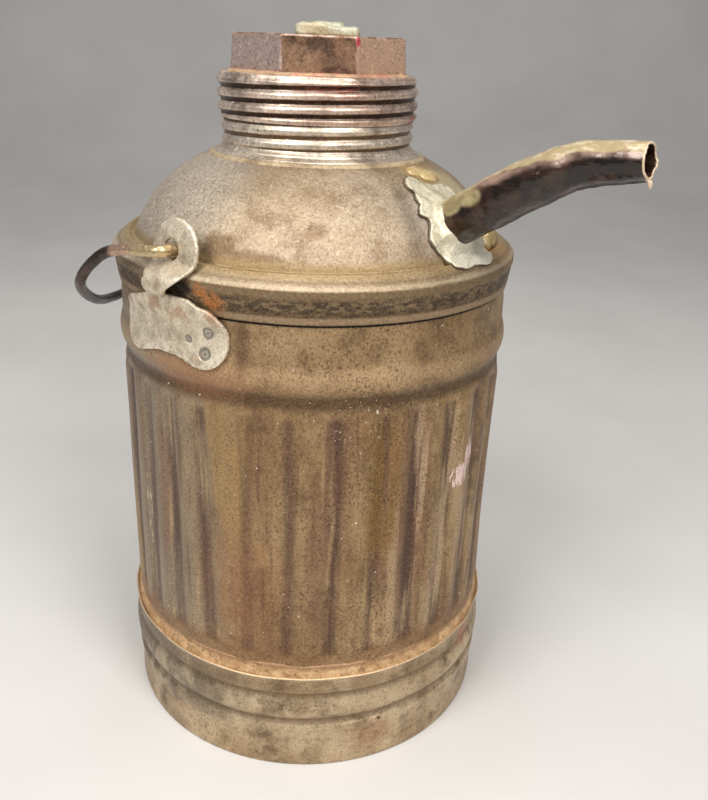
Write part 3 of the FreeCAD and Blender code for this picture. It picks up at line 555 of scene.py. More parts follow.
def dome_look():
    """Silvery tan dome: grainy gloss, a stain by the lug, a yellow foot, a speckled skirt, painted
    highlights on its left side, ridge and skirt edge, and painted shadow by the lug.
    """
    look = Look("dome_tin")
    look.patina((180, 163, 140), (156, 136, 110), (122, 99, 74))
    # Painted highlight: a pale grey sheen over the dome's left side
    look.paint((202, 192, 178), look.side(-112, 26, 18), 0.7)
    grain = look.noise(1.2, roughness=0.75, offset=3.3)
    look.paint((140, 112, 84), look.span(grain, 0.5, 0.62, 0.5))
    look.paint((216, 204, 182), look.span(grain, 0.42, 0.32, 0.5))
    stain = look.math("MAXIMUM",
                      look.near((15, -66.4, 208.4), 6.0, 2.2, 7, (1.2, 1, 0.85), 4),
                      look.near((27, -63.5, 205.2), 8.0, 3.5, 9, (1.7, 1, 0.4), 4))
    look.paint((112, 86, 56), stain, 0.75)
    look.paint((166, 156, 148), look.near((60, -13, 219), 9, 8, 6, (1, 1, 1.3)), 0.5)
    # The dome's foot, its ledge and the skirt below
    look.paint((162, 138, 96), look.zone(SEAM + 14.1, SEAM + 18.1, 1.8), 0.8)
    # Painted shade in the small groove before the ridge
    look.paint((122, 102, 72), look.zone(SEAM + 13.5, SEAM + 14.2, 0.4), 0.6)
    # Painted highlight along the ridge's rolled edge
    look.paint((206, 188, 154), look.zone(SEAM + 12.1, SEAM + 12.9, 0.3), 0.5)
    look.paint((128, 106, 76), look.zone(SEAM - 2, SEAM + 11.7, 0.4), 0.85)
    look.paint((112, 90, 64), look.zone(SEAM - 2, SEAM + 4.9, 0.7), 0.8)
    blot = look.span(look.noise(2.6, 5, (1.6, 1.6, 0.6), 0.78, 1.2), 0.42, 0.56)
    look.paint((58, 46, 38), look.zone(SEAM + 2.9, SEAM + 8.7, 1.2), blot, 0.85)
    # Painted highlight along the skirt's lower edge
    look.paint((172, 148, 118), look.zone(SEAM + 0.4, SEAM + 2.6, 0.5), 0.7)
    # Rust, and painted shadow in the crevice under the lug
    rust = look.math("MAXIMUM",
                     look.near((17.2, -76.4, 195.6), 2.6, 1.4, 4, grain=2.5),
                     look.near((21.6, -75.0, 193.0), 3.6, 1.6, 5, (1, 1, 0.9), 2.5))
    look.paint((184, 122, 72), rust, look.blots(1.4, 0.3, 0.5, detail=3), 0.9)
    # Painted shadow in the gap beside the lug's strap
    look.paint((20, 13, 9), look.near((8.8, -78.0, 196.0), 4.2, 1.6, 3, (1.1, 1, 0.8)), 0.95)
    # Varnish around the spout
    look.paint((190, 158, 104), look.near((45, 4, 229), 9, 4, 8, grain=6), 0.6)
    look.paint((212, 196, 158), look.near((52, 15, 224), 9, 5, 6, grain=5), 0.7)
    look.paint((196, 152, 104), look.near((66, 22, 208), 11, 6, 6), 0.6)
    look.speckle((112, 86, 64), 0.68)
    return look.worn(0.74, 0.49, relief=0.2)


def band_look():
    """Greyer tin of the base band, with a painted reflection on its left and painted shade in its
    grooves, bright on its lip.
    """
    look = Look("band_tin")
    look.patina((204, 182, 150), (168, 143, 110), (112, 90, 66), 1.3)
    # Painted reflection: a greyer tone on the band's left side
    look.paint((126, 114, 98), look.side(-120, 40, 25), look.zone(18, 46, 6))
    run = look.noise(12, stretch=(1, 1, 2.5), offset=7.0)
    look.paint((128, 106, 80), look.span(run, 0.52, 0.7, 0.45))
    look.paint((212, 192, 160), look.span(run, 0.44, 0.34, 0.5))
    # Painted shade in the grooves, from the stored hollow value
    look.paint((96, 76, 54), look.hollow(), 0.6)
    look.paint((126, 100, 70), look.zone(36, 43, 3), 0.45)
    look.paint((176, 108, 80), look.near((77, 12, 38), 5, 3, 8), 0.6)
    look.paint((160, 106, 74), look.near((68, -38, 12), 8, 6, 12, (1, 1, 0.7), 4), 0.45)
    for pit in ((72.4, -29.3, 25), (50, -60, 29), (70, -36, 20)):
        look.paint((96, 64, 44), look.near(pit, 0.7, 0.6, 2))
    look.speckle((88, 66, 48), 0.65)
    look.paint((228, 202, 166), look.zone(BAND_LIP - 0.5, BAND_LIP + 2, 0.25))
    return look.worn(0.75, 0.38, 0.24)


def foot_look():
    """Yellowed solder in the lip, browner where it feathers out on the body."""
    look = Look("foot_varnish")
    look.two_tone((214, 178, 134), (184, 146, 102), look.blots(5, 0.35, 0.65))
    look.paint((120, 88, 56), look.blots(2, 0.5, 0.64, 0.5, offset=2.0))
    wander = look.plus(look.along("Z"), look.noise(6, offset=5.0), 3.0)
    look.paint((144, 108, 76), look.span(wander, BAND_LIP + 3.4, BAND_LIP + 5.2, 0.8))
    return look.worn(0.35)


def thread_look(name, crest, flank, groove):
    """Dark brown steel, bright on its crests, with painted shade that makes its grooves and the
    undersides of its rolls nearly black.
    """
    look = Look(name)
    look.patina(crest, flank, groove)
    # Painted shade in the grooves and on the lower half of each roll, from the stored hollow value
    depth = look.plus(look.hollow(), look.noise(6, stretch=(1, 1, 0.4), offset=2.0), 0.3)
    look.paint(groove, look.span(depth, 0.62, 0.95))
    flakes = look.blots(4, 0.42, 0.6, stretch=(1, 1, 0.4))
    look.paint((156, 84, 74), look.side(-40, 16, 12), look.zone(CAP_TOP - 7, CAP_TOP - 2.2, 1.5),
               flakes, 0.5)
    chip = look.near((35.5, 12, CAP_LIP + 1.6), 2.6, 1, 4, (1, 1, 0.6), 2)
    look.paint((196, 110, 96), chip, 0.8)
    look.speckle((58, 40, 30), 0.66)
    return look.worn(0.82, 0.31, 0.24)


def crown_look():
    """Crown's sides in different browns, pale edges of worn metal and painted highlight, and pink
    paint left in the corners.
    """
    look = Look("crown_steel")
    look.patina((164, 131, 104), (134, 101, 79), (94, 67, 51))
    walls = look.zone(CAP_TOP - 6, CROWN_TOP - 0.5, 0.4)
    look.paint((184, 165, 158), look.side(-94, 22.5, 0.7), walls, 0.85)
    look.paint((226, 188, 160), look.side(-4, 22.5, 0.7), walls, 0.8)
    smudge = look.blots(5, 0.46, 0.62, offset=2.0)
    look.paint((74, 52, 40), look.side(-49, 22, 1), walls, smudge, 0.8)
    pink = look.blots(3, 0.44, 0.6)
    look.paint((180, 112, 94), look.zone(CAP_TOP, CAP_TOP + 1.6, 0.9), pink, 0.5)
    # Pale top rim and corners: worn metal together with a painted highlight
    worn = look.blots(4, 0.4, 0.58, offset=3.0)
    look.paint((206, 184, 170), look.span(look.hollow(), 0.3, 0.9), worn, 0.75)
    chip = look.near((30.6, -14.6, CROWN_TOP - 1.6), 1.4, 0.3, 1.4, (1, 1, 1.4), 1.2)
    look.paint((206, 84, 94), chip)
    look.speckle((66, 46, 36), 0.65)
    return look.worn(0.62, 0.38)


def solder_look(name, light, dark, pink=0.0):
    """Pale matt solder with dark pores."""
    look = Look(name)
    look.patina(light, light, dark)
    if pink:
        look.paint((190, 122, 106), look.side(-35, 50, 15), look.blots(3.5, 0.45, 0.6, pink))
    look.speckle(dark, 0.68, 0.9)
    return look.worn(0.35, 0.5, relief=0.15)


def lug_look():
    """Dull galvanised sheet with darker spot-weld marks and rust along its edges."""
    look = Look("lug_zinc")
    look.patina((240, 228, 208), (216, 203, 180), (170, 157, 134), 1.2)
    run = look.noise(7, 5, (1, 1, 1.6), 0.65, 6.0)
    look.paint((156, 146, 126), look.span(run, 0.52, 0.66, 0.55))
    look.paint((236, 228, 210), look.span(run, 0.42, 0.32, 0.5))
    look.paint((98, 98, 94), look.span(look.hollow(), 0.1, 0.8), 0.75)
    rust = look.blots(6, 0.5, 0.64, offset=4.0)
    look.paint((166, 116, 78), rust, look.zone(SEAM - 3, SEAM + 12, 4), 0.5)
    edge = look.blots(4, 0.5, 0.62, offset=1.0)
    look.paint((150, 116, 86), edge, look.zone(SEAM - 24, SEAM - 14, 2), 0.5)
    look.speckle((122, 110, 90), 0.68)
    return look.worn(0.55, 0.4, relief=0.14)


def spout_look():
    """Thick black-brown lacquer, glossy and blotched, worn to olive on top, with a bare rim,
    painted sheen and painted glints.
    """
    look = Look("spout_lacquer")
    look.two_tone((138, 124, 88), (172, 158, 120), look.blots(3.5, 0.38, 0.62, offset=2.0))
    cloud = look.colour
    look.two_tone((22, 13, 9), (58, 38, 27), look.blots(9, 0.35, 0.65))
    streak = look.noise(5, 5, (2.5, 1, 1.4), offset=3.0)
    # Painted sheen: purple-brown streaks along the tube
    look.paint((84, 64, 54), look.span(streak, 0.54, 0.7, 0.5))
    # Wear grows towards the top and the tip; the same value places a painted sheen below the worn
    # band and painted glints along its edge
    olive = look.plus(look.hollow(), look.math("SUBTRACT", streak, 0.5), 0.7)
    olive = look.math("ADD", olive, look.span(look.along("X"), 84, 104, 0.2))
    thin = look.blots(7, 0.36, 0.6, stretch=(2, 1, 1), offset=5.0)
    # Painted sheen on the tube's upper flank below the worn band
    look.paint((156, 130, 116), look.span(olive, 0.22, 0.6), thin, 0.85)
    look.paint((178, 160, 120), look.span(olive, 0.62, 0.76, 0.9))
    lobe = look.math("MAXIMUM",
                     look.near((65.6, -6.5, 222.6), 4.3, 0.8, 1.2, (1.25, 1, 0.9), 4),
                     look.near((72.2, -6.8, 226.0), 3.7, 0.8, 1.2, (1.6, 1, 0.9), 4))
    look.paint(cloud, lobe, 0.9)
    # Painted glints along the edge of the worn band
    flecks = look.blots(2.6, 0.5, 0.62, stretch=(2.4, 1, 1))
    look.paint((214, 200, 174), look.span(olive, 0.66, 0.8), flecks, 0.75)
    look.paint((214, 190, 162), look.span(look.hollow(), 1.3, 1.7))
    grain = look.noise(2.2, roughness=0.6)
    rough = look.math("ADD", look.math("MULTIPLY", grain, 0.3), 0.06)
    swell = look.bump(look.noise(5, 3, (2.2, 1, 1), offset=6.0), 0.9)
    surface = look.bump(grain, 0.14, swell)
    return look.done(0.1, rough, surface, Coat_Weight=0.15, Coat_Roughness=0.1)


def sealant_look():
    """Old varnish or sealant, amber and uneven."""
    look = Look("sealant_amber")
    look.two_tone((194, 172, 124), (156, 130, 84), look.blots(5, 0.35, 0.65))
    look.speckle((90, 64, 40), 0.66)
    grain = look.noise(2)
    rough = look.math("ADD", look.math("MULTIPLY", grain, 0.2), 0.16)
    return look.done(0.1, rough, look.bump(grain, 0.15), Coat_Weight=0.25, Coat_Roughness=0.3)


def lead_look():
    """Soft grey-green metal with a chalky bloom and an amber smear."""
    look = Look("crown_lead")
    look.patina((212, 212, 192), (186, 186, 164), (140, 134, 110))
    look.paint((180, 152, 100), look.near((2, -5, CROWN_TOP + 1), 4, 2.5, 4, (1.5, 1, 1)), 0.5)
    return look.worn(0.3, 0.5, relief=0.15)


def patch_look():
    """Dull grey solder, with painted shadow along its lifted edge, paler where it's been wiped."""
    look = Look("patch_solder")
    look.patina((218, 212, 188), (198, 190, 164), (160, 148, 118))
    look.paint((234, 230, 212), look.near((74, 0, 204), 8, 4, 5, (1, 1.3, 1)), 0.7)
    # Painted shadow under the patch's lifted edge
    edge = look.plus(look.hollow(), look.noise(3), -0.25)
    look.paint((64, 44, 28), look.span(edge, 0.66, 0.84, 0.85))
    look.speckle((140, 126, 98), 0.68, 0.9)
    return look.worn(0.4, 0.4, relief=0.12)


def bail_look():
    """Steel wire: bright and yellow near its ends, dark brown on the loop."""
    look = Look("bail_steel")
    look.patina((88, 70, 62), (48, 36, 31), (24, 17, 14))
    behind = look.plus(look.math("MULTIPLY", look.along("X"), -1), look.noise(4, 3), 4)
    look.paint((192, 158, 136), look.span(behind, 24, 21.5))
    look.paint((206, 186, 142), look.span(behind, 17, 7, 0.85))
    look.speckle((96, 66, 48), 0.64)
    return look.worn(0.8, 0.28, 0.18, 0.08)


def cork_look():
    """Compressed cork: brown granules with dark gaps."""
    look = Look("cork")
    cells = look.node("ShaderNodeTexVoronoi", feature="F1")
    look.feed(cells.inputs["Vector"], look.spot_of)
    cells.inputs["Scale"].default_value = 520
    gap = cells.outputs["Distance"]
    look.two_tone((168, 122, 78), (96, 62, 38), look.span(gap, 0.2, 0.8))
    look.paint((190, 148, 100), look.blots(5, 0.4, 0.7, 0.5, detail=3))
    return look.done(0.0, 0.85, look.bump(gap, -0.2))


# Body


def flute_depth(angle, level):
    """From 0 on a crest to 1 at the bottom of a flute's trough."""
    flutes = 30
    turn = flutes * (angle - math.radians(5.0)) + 0.5 * waver(angle, level, 5, 3, 12, 160)
    trough = (1 + np.cos(turn)) / 2
    number = np.round(turn / FULL_TURN).astype(int) % flutes
    depths = np.random.default_rng(8).uniform(0.62, 1.0, flutes)
    reach = ease(level, FLUTE_FOOT - 0.5, FLUTE_FOOT + 3.6)
    reach = reach * (1 - ease(level, FLUTE_HEAD - 5.5, FLUTE_HEAD))
    return trough ** 1.25 * depths[number] * reach


def body_move(angle, radius, level):
    """Flutes, the groove and bead above them, a few dents and the lapped seam at the back."""
    crest, depth, bead = 0.9, 1.9, 1.45
    fluted = window(level, FLUTE_FOOT, FLUTE_HEAD, 5.5)
    move = crest * fluted - depth * flute_depth(angle, level)
    move -= 0.6 * window(level, FLUTE_HEAD - 1.5, FLUTE_HEAD + 6.5, 3.8)
    move += bead * window(level, FLUTE_HEAD + 1.8, FLUTE_HEAD + 17.8, 7.8)
    move -= 0.35 * ease(level, SEAM - 7.0, SEAM - 1.5)
    move -= 0.45 * window(level, SEAM - 1.0, SEAM + 6.0, 0.7)
    move += 0.16 * waver(angle, level, 2) * window(level, 46, SEAM, 12)
    spots = [(0.5, -70, 120, 14, 26), (0.45, 24, 86, 16, 20), (0.7, 140, 108, 18, 24)]
    move -= dents(angle, radius, level, spots)
    seam = radius * np.abs(turn_gap(angle, 176))
    return move + 0.35 * (1 - ease(seam, 2.6, 3.4)) * window(level, 46, SEAM, 1.0)


def make_body():
    """Fluted tin body."""
    fine, coarse = 1.15, 8.0
    hidden = np.arange(BODY_FOOT, BAND_LIP - 2.5, coarse)
    visible = np.arange(BAND_LIP - 2, SEAM + 1.2, fine)
    levels = np.concatenate([hidden, visible, [SEAM + 5, BODY_HEAD]])
    path = np.stack([np.full_like(levels, BODY_RADIUS), levels], axis=1)
    points, angle, level = turned(sheet_loop(path, wall=0.7, skip=6), 480, body_move)
    piece = grid_piece("body_tin", [points], hollow=flute_depth(angle, level))
    place(piece, body_look(), "can", "stained_tinplate", "body_shell")


# Base band with the solder in its lip


def band_move(angle, radius, level):
    """Slightly uneven skirt and lip."""
    move = 0.22 * waver(angle, level, 11, 2, 7, 60) * ease(level, 0, 12)
    move += 0.14 * waver(angle, level, 12, 9, 30, 30) * ease(level, BAND_LIP - 6, BAND_LIP)
    return move - dents(angle, radius, level, [(0.6, -16, 29, 9, 6), (0.5, 150, 12, 12, 8)])


def make_band():
    """Base band: skirt, rolled bead between two grooves and a thin flared lip."""
    path = outline([
        (BAND_RADIUS - 0.3, 0.35), (BAND_RADIUS - 0.1, 3.0, 60, "right"),
        (BAND_RADIUS + 0.15, 16.5), (BAND_RADIUS + 0.35, 18.8, 2.6, "left"),
        (BAND_RADIUS, 20.4, 2.9, "right"),
        (BAND_RADIUS - 0.15, 24.6, 10.2, "left"), (BAND_RADIUS - 0.15, 33.6, 2.9, "right"),
        (BAND_RADIUS + 0.05, 37.4), (BAND_RADIUS + 0.1, 42.0, 6, "right"),
        (BAND_RADIUS + 0.55, BAND_LIP - 0.2)], 0.8)
    points, _, level = turned(sheet_loop(path, wall=0.7, skip=3), 360, band_move)
    # hollow marks the grooves, where the band's look paints shade
    hollow = window(level, 20.2, 25.4, 2.4) + window(level, 33.2, 38.0, 2.2)
    piece = grid_piece("base_band_tin", [points], hollow=hollow)
    place(piece, band_look(), "can", "stained_tinplate", "base_band")


def make_foot_solder():
    """Yellowed solder and varnish that fills the gap between the lip and the body."""
    path = np.array([(BODY_RADIUS - 0.4, BAND_LIP - 1.5), (BAND_RADIUS - 0.5, BAND_LIP - 1.5),
                     (BAND_RADIUS - 0.25, BAND_LIP - 0.6), (BAND_RADIUS - 0.6, BAND_LIP + 0.0),
                     (BAND_RADIUS - 1.1, BAND_LIP + 0.9), (BAND_RADIUS - 1.5, BAND_LIP + 2.0),
                     (BODY_RADIUS + 0.25, BAND_LIP + 3.6), (BODY_RADIUS - 0.1, BAND_LIP + 4.9),
                     (BODY_RADIUS - 0.6, BAND_LIP + 4.4)])

    def lumps(angle, radius, level):
        """Unevenness that grows up the fillet."""
        return 0.14 * waver(angle, level, 21, 6, 40, 12) * ease(level, BAND_LIP - 1, BAND_LIP + 3)

    points, angle, level = turned(path, 480, lumps)
    points[..., 2] += 0.25 * waver(angle, 0.0, 22, 6, 30) * ease(level, BAND_LIP + 1, BAND_LIP + 5)
    piece = grid_piece("foot_solder_fillet", [points])
    place(piece, foot_look(), "can", "amber_sealant", "foot_solder")


# Domed top and its neck


def dome_section():
    """Outer outline of the dome, shoulder and skirt."""
    shoulder, ridge = SHOULDER_RADIUS, SEAM + 11
    return [(shoulder - 1.5, SEAM + 0.15), (shoulder - 0.35, SEAM + 8.0), (shoulder, ridge - 1.5),
            (shoulder, ridge + 0.1, 1.5, "left"), (shoulder - 0.7, ridge + 1.4),
            (*LEDGE_EDGE, 1.4, "left"), (shoulder - 6.6, ridge + 4.9),
            (shoulder - 7.5, ridge + 4.2, 0.9, "right"), (*DOME_FOOT, DOME_ARC, "left"), DOME_HEAD,
            (DOME_HEAD[0] - 3.8, SEAM + 46.4)]


def dome_move(angle, radius, level):
    """Hand-worn unevenness and a crease beside the spout's patch."""
    domed = ease(level, SEAM + 17, SEAM + 24) * (1 - ease(level, SEAM + 42, SEAM + 45))
    move = 0.3 * waver(angle, level, 31, 2, 6, 90) * domed
    move += 0.1 * waver(angle, level, 32, 5, 16, 25) * domed
    crease = [(0.9, -15, 221, 3.0, 9), (-0.35, -21, 219, 4.0, 9)]
    move -= dents(angle, radius, level, crease + [(0.5, -72, 214, 9, 7), (0.6, 150, 212, 12, 8)])
    skirt = 1 - ease(level, SEAM + 10, SEAM + 16)
    return move + 0.12 * waver(angle, level, 33, 3, 14, 40) * skirt


def make_dome():
    """Dome, shoulder and skirt of one sheet, with a hole that the spout passes through."""
    path = outline(dome_section(), 1.1)
    points, _, _ = turned(sheet_loop(path, wall=0.8, skip=2), 360, dome_move)
    piece = grid_piece("dome_tin", [points])
    start, along = spout_base()
    work = bmesh.new()
    turn = Vector(along).to_track_quat("Z", "Y").to_matrix().to_4x4()
    middle = Matrix.Translation(Vector(start * MM) + Vector(along) * 2 * MM) @ turn
    radius = SPOUT_HOLE * MM
    bmesh.ops.create_cone(work, cap_ends=True, segments=64, radius1=radius, radius2=radius,
                          depth=32 * MM, matrix=middle)
    drill = new_piece("spout_drill", bpy.data.meshes.new("spout_drill"))
    work.to_mesh(drill.data)
    work.free()
    cut = piece.modifiers.new("spout_hole", "BOOLEAN")
    cut.operation = "DIFFERENCE"
    cut.object = drill
    apply_modifiers(piece)
    bpy.data.objects.remove(drill)
    place(piece, dome_look(), "can", "stained_tinplate", "dome_top")


def rolled(angle, level, crest, sharp=1.7):
    """A right-hand rolled thread: 1 on its broad crests, -1 in its narrow grooves."""
    turn = FULL_TURN * (level - crest) / THREAD_PITCH - angle
    return 1 - 2 * ((1 - np.cos(turn)) / 2) ** sharp


def neck_move(angle, radius, level):
    """Rolled turns below the cap, the thread under it and fine steps around the flared foot."""
    above = level - NECK_FOOT
    beads = window(level, NECK_FOOT + 2.6, CAP_LIP - 0.2, 1.6)
    thread = window(level, CAP_LIP + 0.6, NECK_MOUTH - 1.0, 2.0)
    move = 0.55 * beads * (rolled(angle, level, NECK_CREST) - 0.35)
    move += 0.5 * thread * rolled(angle, level, CAP_CREST, sharp=1.0)
    steps = 0.13 * np.cos(FULL_TURN * above / 1.1) * window(above, 0.2, 3.4, 0.5)
    return move + steps + 0.08 * waver(angle, level, 41, 3, 12, 20)


def make_neck():
    """Threaded neck with its flared foot."""
    waist, mouth = 35.6, 35.4
    path = outline([(NECK_ROOT, NECK_FOOT + 0.1), (NECK_ROOT - 0.5, NECK_FOOT + 0.7, 5.2, "right"),
                    (waist + 0.1, NECK_FOOT + 3.4, 6, "right"), (waist + 0.3, NECK_FOOT + 4.6),
                    (waist + 0.3, CAP_LIP - 1.5), (mouth, CAP_LIP + 0.5),
                    (mouth, NECK_MOUTH - 0.2)], 0.32)
    points, angle, level = turned(sheet_loop(path, wall=0.8, skip=2), 240, neck_move)
    # The hollow value is lifted so that painted shade darkens the lower flank of each roll as well
    # as its groove
    underside_shade_lift = 0.4
    groove = (1 - rolled(angle, level, NECK_CREST + underside_shade_lift, sharp=1.4)) / 2
    hollow = groove * window(level, NECK_FOOT + 3.0, CAP_LIP + 1, 1.0)
    piece = grid_piece("neck_steel", [points], hollow=hollow)
    look = thread_look("neck_finish", (244, 233, 216), (212, 196, 176), (112, 92, 74))
    place(piece, look, "can", "cap_steel", "neck_ring")


def make_neck_solder():
    """Thin uneven bead around the foot of the neck."""
    bead = [(-1.2, -0.5), (1.5, -1.1), (1.3, -0.7), (0.75, -0.2), (0.1, 0.35), (-1.2, 0.4)]
    path = np.array([NECK_ROOT, NECK_FOOT]) + bead

    def lumps(angle, radius, level):
        """Unevenness around the bead."""
        return 0.18 * waver(angle, level, 51, 8, 60, 6)

    points, _, _ = turned(path, 360, lumps)
    piece = grid_piece("neck_solder_bead", [points])
    look = solder_look("neck_solder_look", (184, 164, 132), (112, 90, 64))
    place(piece, look, "can", "solder", "neck_solder")


# Screw cap


def make_cap():
    """Skirt of the cap: a rolled thread between a lip and a flange."""
    skirt, rim, bore = 36.85, 36.0, 29.5
    path = outline([(skirt - 0.55, CAP_LIP + 0.15), (skirt - 0.35, CAP_LIP + 1.0),
                    (skirt, CAP_LIP + 2.0), (skirt, CAP_TOP - 2.2),
                    (rim + 0.35, CAP_TOP - 0.8, 0.9, "left"),
                    (rim - 0.45, CAP_TOP - 0.05), (33.0, CAP_TOP), (bore, CAP_TOP)], 0.3)

    def roll(angle, radius, level):
        """Thread on the skirt's side, and a wavy flange above it."""
        side = radius > rim - 0.6
        thread = window(level, CAP_LIP + 0.6, CAP_TOP - 0.8, 1.5) * side
        flange = ease(level, CAP_TOP - 3.4, CAP_TOP - 1.0) * side
        uneven = 0.07 * waver(angle, level, 61, 3, 14, 20)
        uneven += 0.22 * flange * waver(angle, 0.0, 62, 4, 15)
        return thread * (0.7 * rolled(angle, level, CAP_CREST) - 0.12) + uneven

    points, angle, level = turned(sheet_loop(path, wall=0.55, skip=2), 300, roll)
    # The hollow value is lifted so that painted shade darkens the lower flank of each roll as well
    # as its groove
    underside_shade_lift = 0.5
    groove = (1 - rolled(angle, level, CAP_CREST + underside_shade_lift, sharp=1.15)) / 2
    hollow = groove * window(level, CAP_LIP - 0.5, CAP_TOP - 1.6, 0.8)
    piece = grid_piece("cap_thread", [points], hollow=hollow)
    look = thread_look("cap_finish", (252, 232, 214), (188, 160, 144), (58, 40, 32))
    place(piece, look, "screw_cap", "cap_steel", "cap_ring")


def octagon_angles(per_side):
    """Angles around an octagon, crowded near its corners, from the first corner."""
    share = np.linspace(-1, 1, per_side, endpoint=False)
    eased = np.sign(share) * np.abs(share) ** 2.4 * math.pi / 8
    return np.concatenate([eased + side * math.pi / 4 for side in range(8)])


def octagon_reach(angle, sharpness=150.0):
    """Distance to the side of a rounded octagon whose apothem is 1, from the first corner."""
    total = 0.0
    for side in range(8):
        facing = np.cos(angle - (side + 0.5) * math.pi / 4)
        total = total + np.maximum(facing, 0.0) ** sharpness
    return total ** (-1 / sharpness)


def octagon_grid(section, per_side, uneven):
    """Rings of (apothem, level) as octagons with slightly uneven sides.

    Returns the points with their apothems and levels.
    """
    angle = octagon_angles(per_side)[None, :]
    apothem, level = np.array(section)[:, :1], np.array(section)[:, 1:]
    turn = angle + math.radians(CROWN_CORNER)
    reach = apothem * octagon_reach(angle)
    reach = reach + uneven * waver(turn, level, 71, 3, 30, 14) * ease(apothem, 4, 26)
    axes = np.broadcast_arrays(reach * np.cos(turn), reach * np.sin(turn), level)
    return np.stack(axes, axis=-1), apothem, level


def make_crown():
    """Eight-sided hollow crown with a worn raised rim."""
    wall, rim_depth, per_side = 0.8, 2.4, 26
    lean = (CROWN_TOP - CAP_TOP) * math.tan(math.radians(3.6))
    head = CROWN_FOOT - lean
    rim = [(-2.6, -0.45), (-1.9, -0.3), (-1.35, 0), (-0.8, 0.08), (-0.25, 0), (0.12, -0.35),
           (0.2, -0.9), (0.12, -1.5), (0.08, -rim_depth)]
    section = [(0.02, CROWN_TOP - 0.5), (12, CROWN_TOP - 0.55), (24, CROWN_TOP - 0.5)]
    section += [(head + out, CROWN_TOP + rise) for out, rise in rim]
    side_height = CROWN_TOP - CAP_TOP - rim_depth
    for share in np.linspace(0.15, 0.95, 9):
        section.append((head + lean * share + 0.08, CROWN_TOP - rim_depth - side_height * share))
    section += [(CROWN_FOOT, CAP_TOP + 0.1), (CROWN_FOOT - wall, CAP_TOP + 0.1),
                (head - wall, CROWN_TOP - 2.0), (head - 2, CROWN_TOP - 1.6),
                (0.02, CROWN_TOP - 1.6)]
    points, apothem, level = octagon_grid(section, per_side, 0.09)
    # hollow marks the top rim and the corners, which the look paints pale as wear and highlight
    edge = window(level, CROWN_TOP - 1.0, CROWN_TOP + 0.6, 0.5)
    edge = edge * ease(apothem, head - 1.6, head - 0.6)
    corner = ease(octagon_reach(octagon_angles(per_side))[None, :], 1.068, 1.077)
    hollow = np.clip(edge + 0.7 * corner * ease(apothem, head - 2, head), 0, 1)
    piece = grid_piece("crown_cup", [points], loop_rows=False, hollow=hollow)
    place(piece, crown_look(), "screw_cap", "cap_steel", "cap_crown")


def make_crown_solder():
    """Low uneven bead around the foot of the crown, stained with pink paint."""
    bead = [(-0.4, -0.15), (1.7, -0.15), (1.45, 0.25), (0.8, 0.6), (0.25, 1.0), (-0.4, 1.0)]
    section = np.array([CROWN_FOOT, CAP_TOP]) + bead
    points, _, _ = octagon_grid(section, 24, 0.22)
    piece = grid_piece("crown_solder_bead", [roughen(points, 2.5, 0.25, 3)])
    look = solder_look("crown_solder_look", (190, 160, 126), (134, 100, 78), 0.7)
    place(piece, look, "screw_cap", "solder", "crown_solder")


def lump_grid(centre, radii, seed, normal=(0, 0, 1), turn=0.0, size=3.0, reach=0.5, boxy=1.0):
    """A rough ellipsoid whose third half length lies along a normal; boxy below 1 squares it."""
    rows, columns = 18, 36
    polar = np.linspace(0.04, math.pi - 0.04, rows)[:, None]
    around = np.linspace(0, FULL_TURN, columns, endpoint=False)[None, :]

    def squared(value):
        """A sine or cosine pushed towards a square wave."""
        return np.sign(value) * np.abs(value) ** boxy

    ball = np.stack(np.broadcast_arrays(
        radii[0] * squared(np.sin(polar)) * squared(np.cos(around)),
        radii[1] * squared(np.sin(polar)) * squared(np.sin(around)),
        radii[2] * squared(np.cos(polar))), axis=-1)
    frame_turn = Vector(normal).to_track_quat("Z", "Y").to_matrix() @ Matrix.Rotation(turn, 3, "Z")
    return roughen(ball @ np.array(frame_turn).T + np.array(centre), size, reach, seed)


def make_crown_patch():
    """Folded slabs of soft metal, melted onto the top of the crown."""
    top = CROWN_TOP
    grids = [lump_grid((-1.5, -1.5, top + 1.9), (6.6, 5.2, 2.4), 2, turn=0.6, boxy=0.45),
             lump_grid((2.2, 2.0, top + 2.6), (6.2, 4.6, 2.1), 5, turn=0.9, boxy=0.45),
             lump_grid((8.2, 4.4, top + 1.4), (5.6, 4.4, 1.8), 3, turn=0.7, boxy=0.45),
             lump_grid((5.0, 7.2, top + 1.0), (5.0, 4.5, 1.8), 4, turn=0.2, boxy=0.6)]
    piece = remeshed(grid_piece("crown_lead", grids, loop_rows=False), voxel=0.33, passes=2)
    place(piece, lead_look(), "screw_cap", "soft_metal", "crown_patch")


# Spout, its solder and the sealant lumps

# Centre line of the spout: X, level and outer radius, from inside the dome to the tip
SPOUT_LINE = [(60.5, 212.9, 8.7), (67.0, 217.0, 8.6), (73.7, 221.2, 8.4), (85.1, 228.4, 8.15),
              (95.1, 234.4, 7.65), (104.4, 238.6, 7.05), (113.6, 241.2, 6.5), (125.9, 242.8, 5.8),
              (129.0, 243.2, 5.5)]
SPOUT_HOLE = 8.9
SIDEWAYS = np.array([0.0, 1.0, 0.0])


def spout_base():
    """Start and direction of the spout's straight base."""
    first, second = (np.array([x, 0.0, level]) for x, level, _ in SPOUT_LINE[0:3:2])
    return first, (second - first) / np.linalg.norm(second - first)


def directions(line):
    """Unit direction of a line of points at each of them."""
    along = np.gradient(line, axis=0)
    return along / np.linalg.norm(along, axis=1)[:, None]


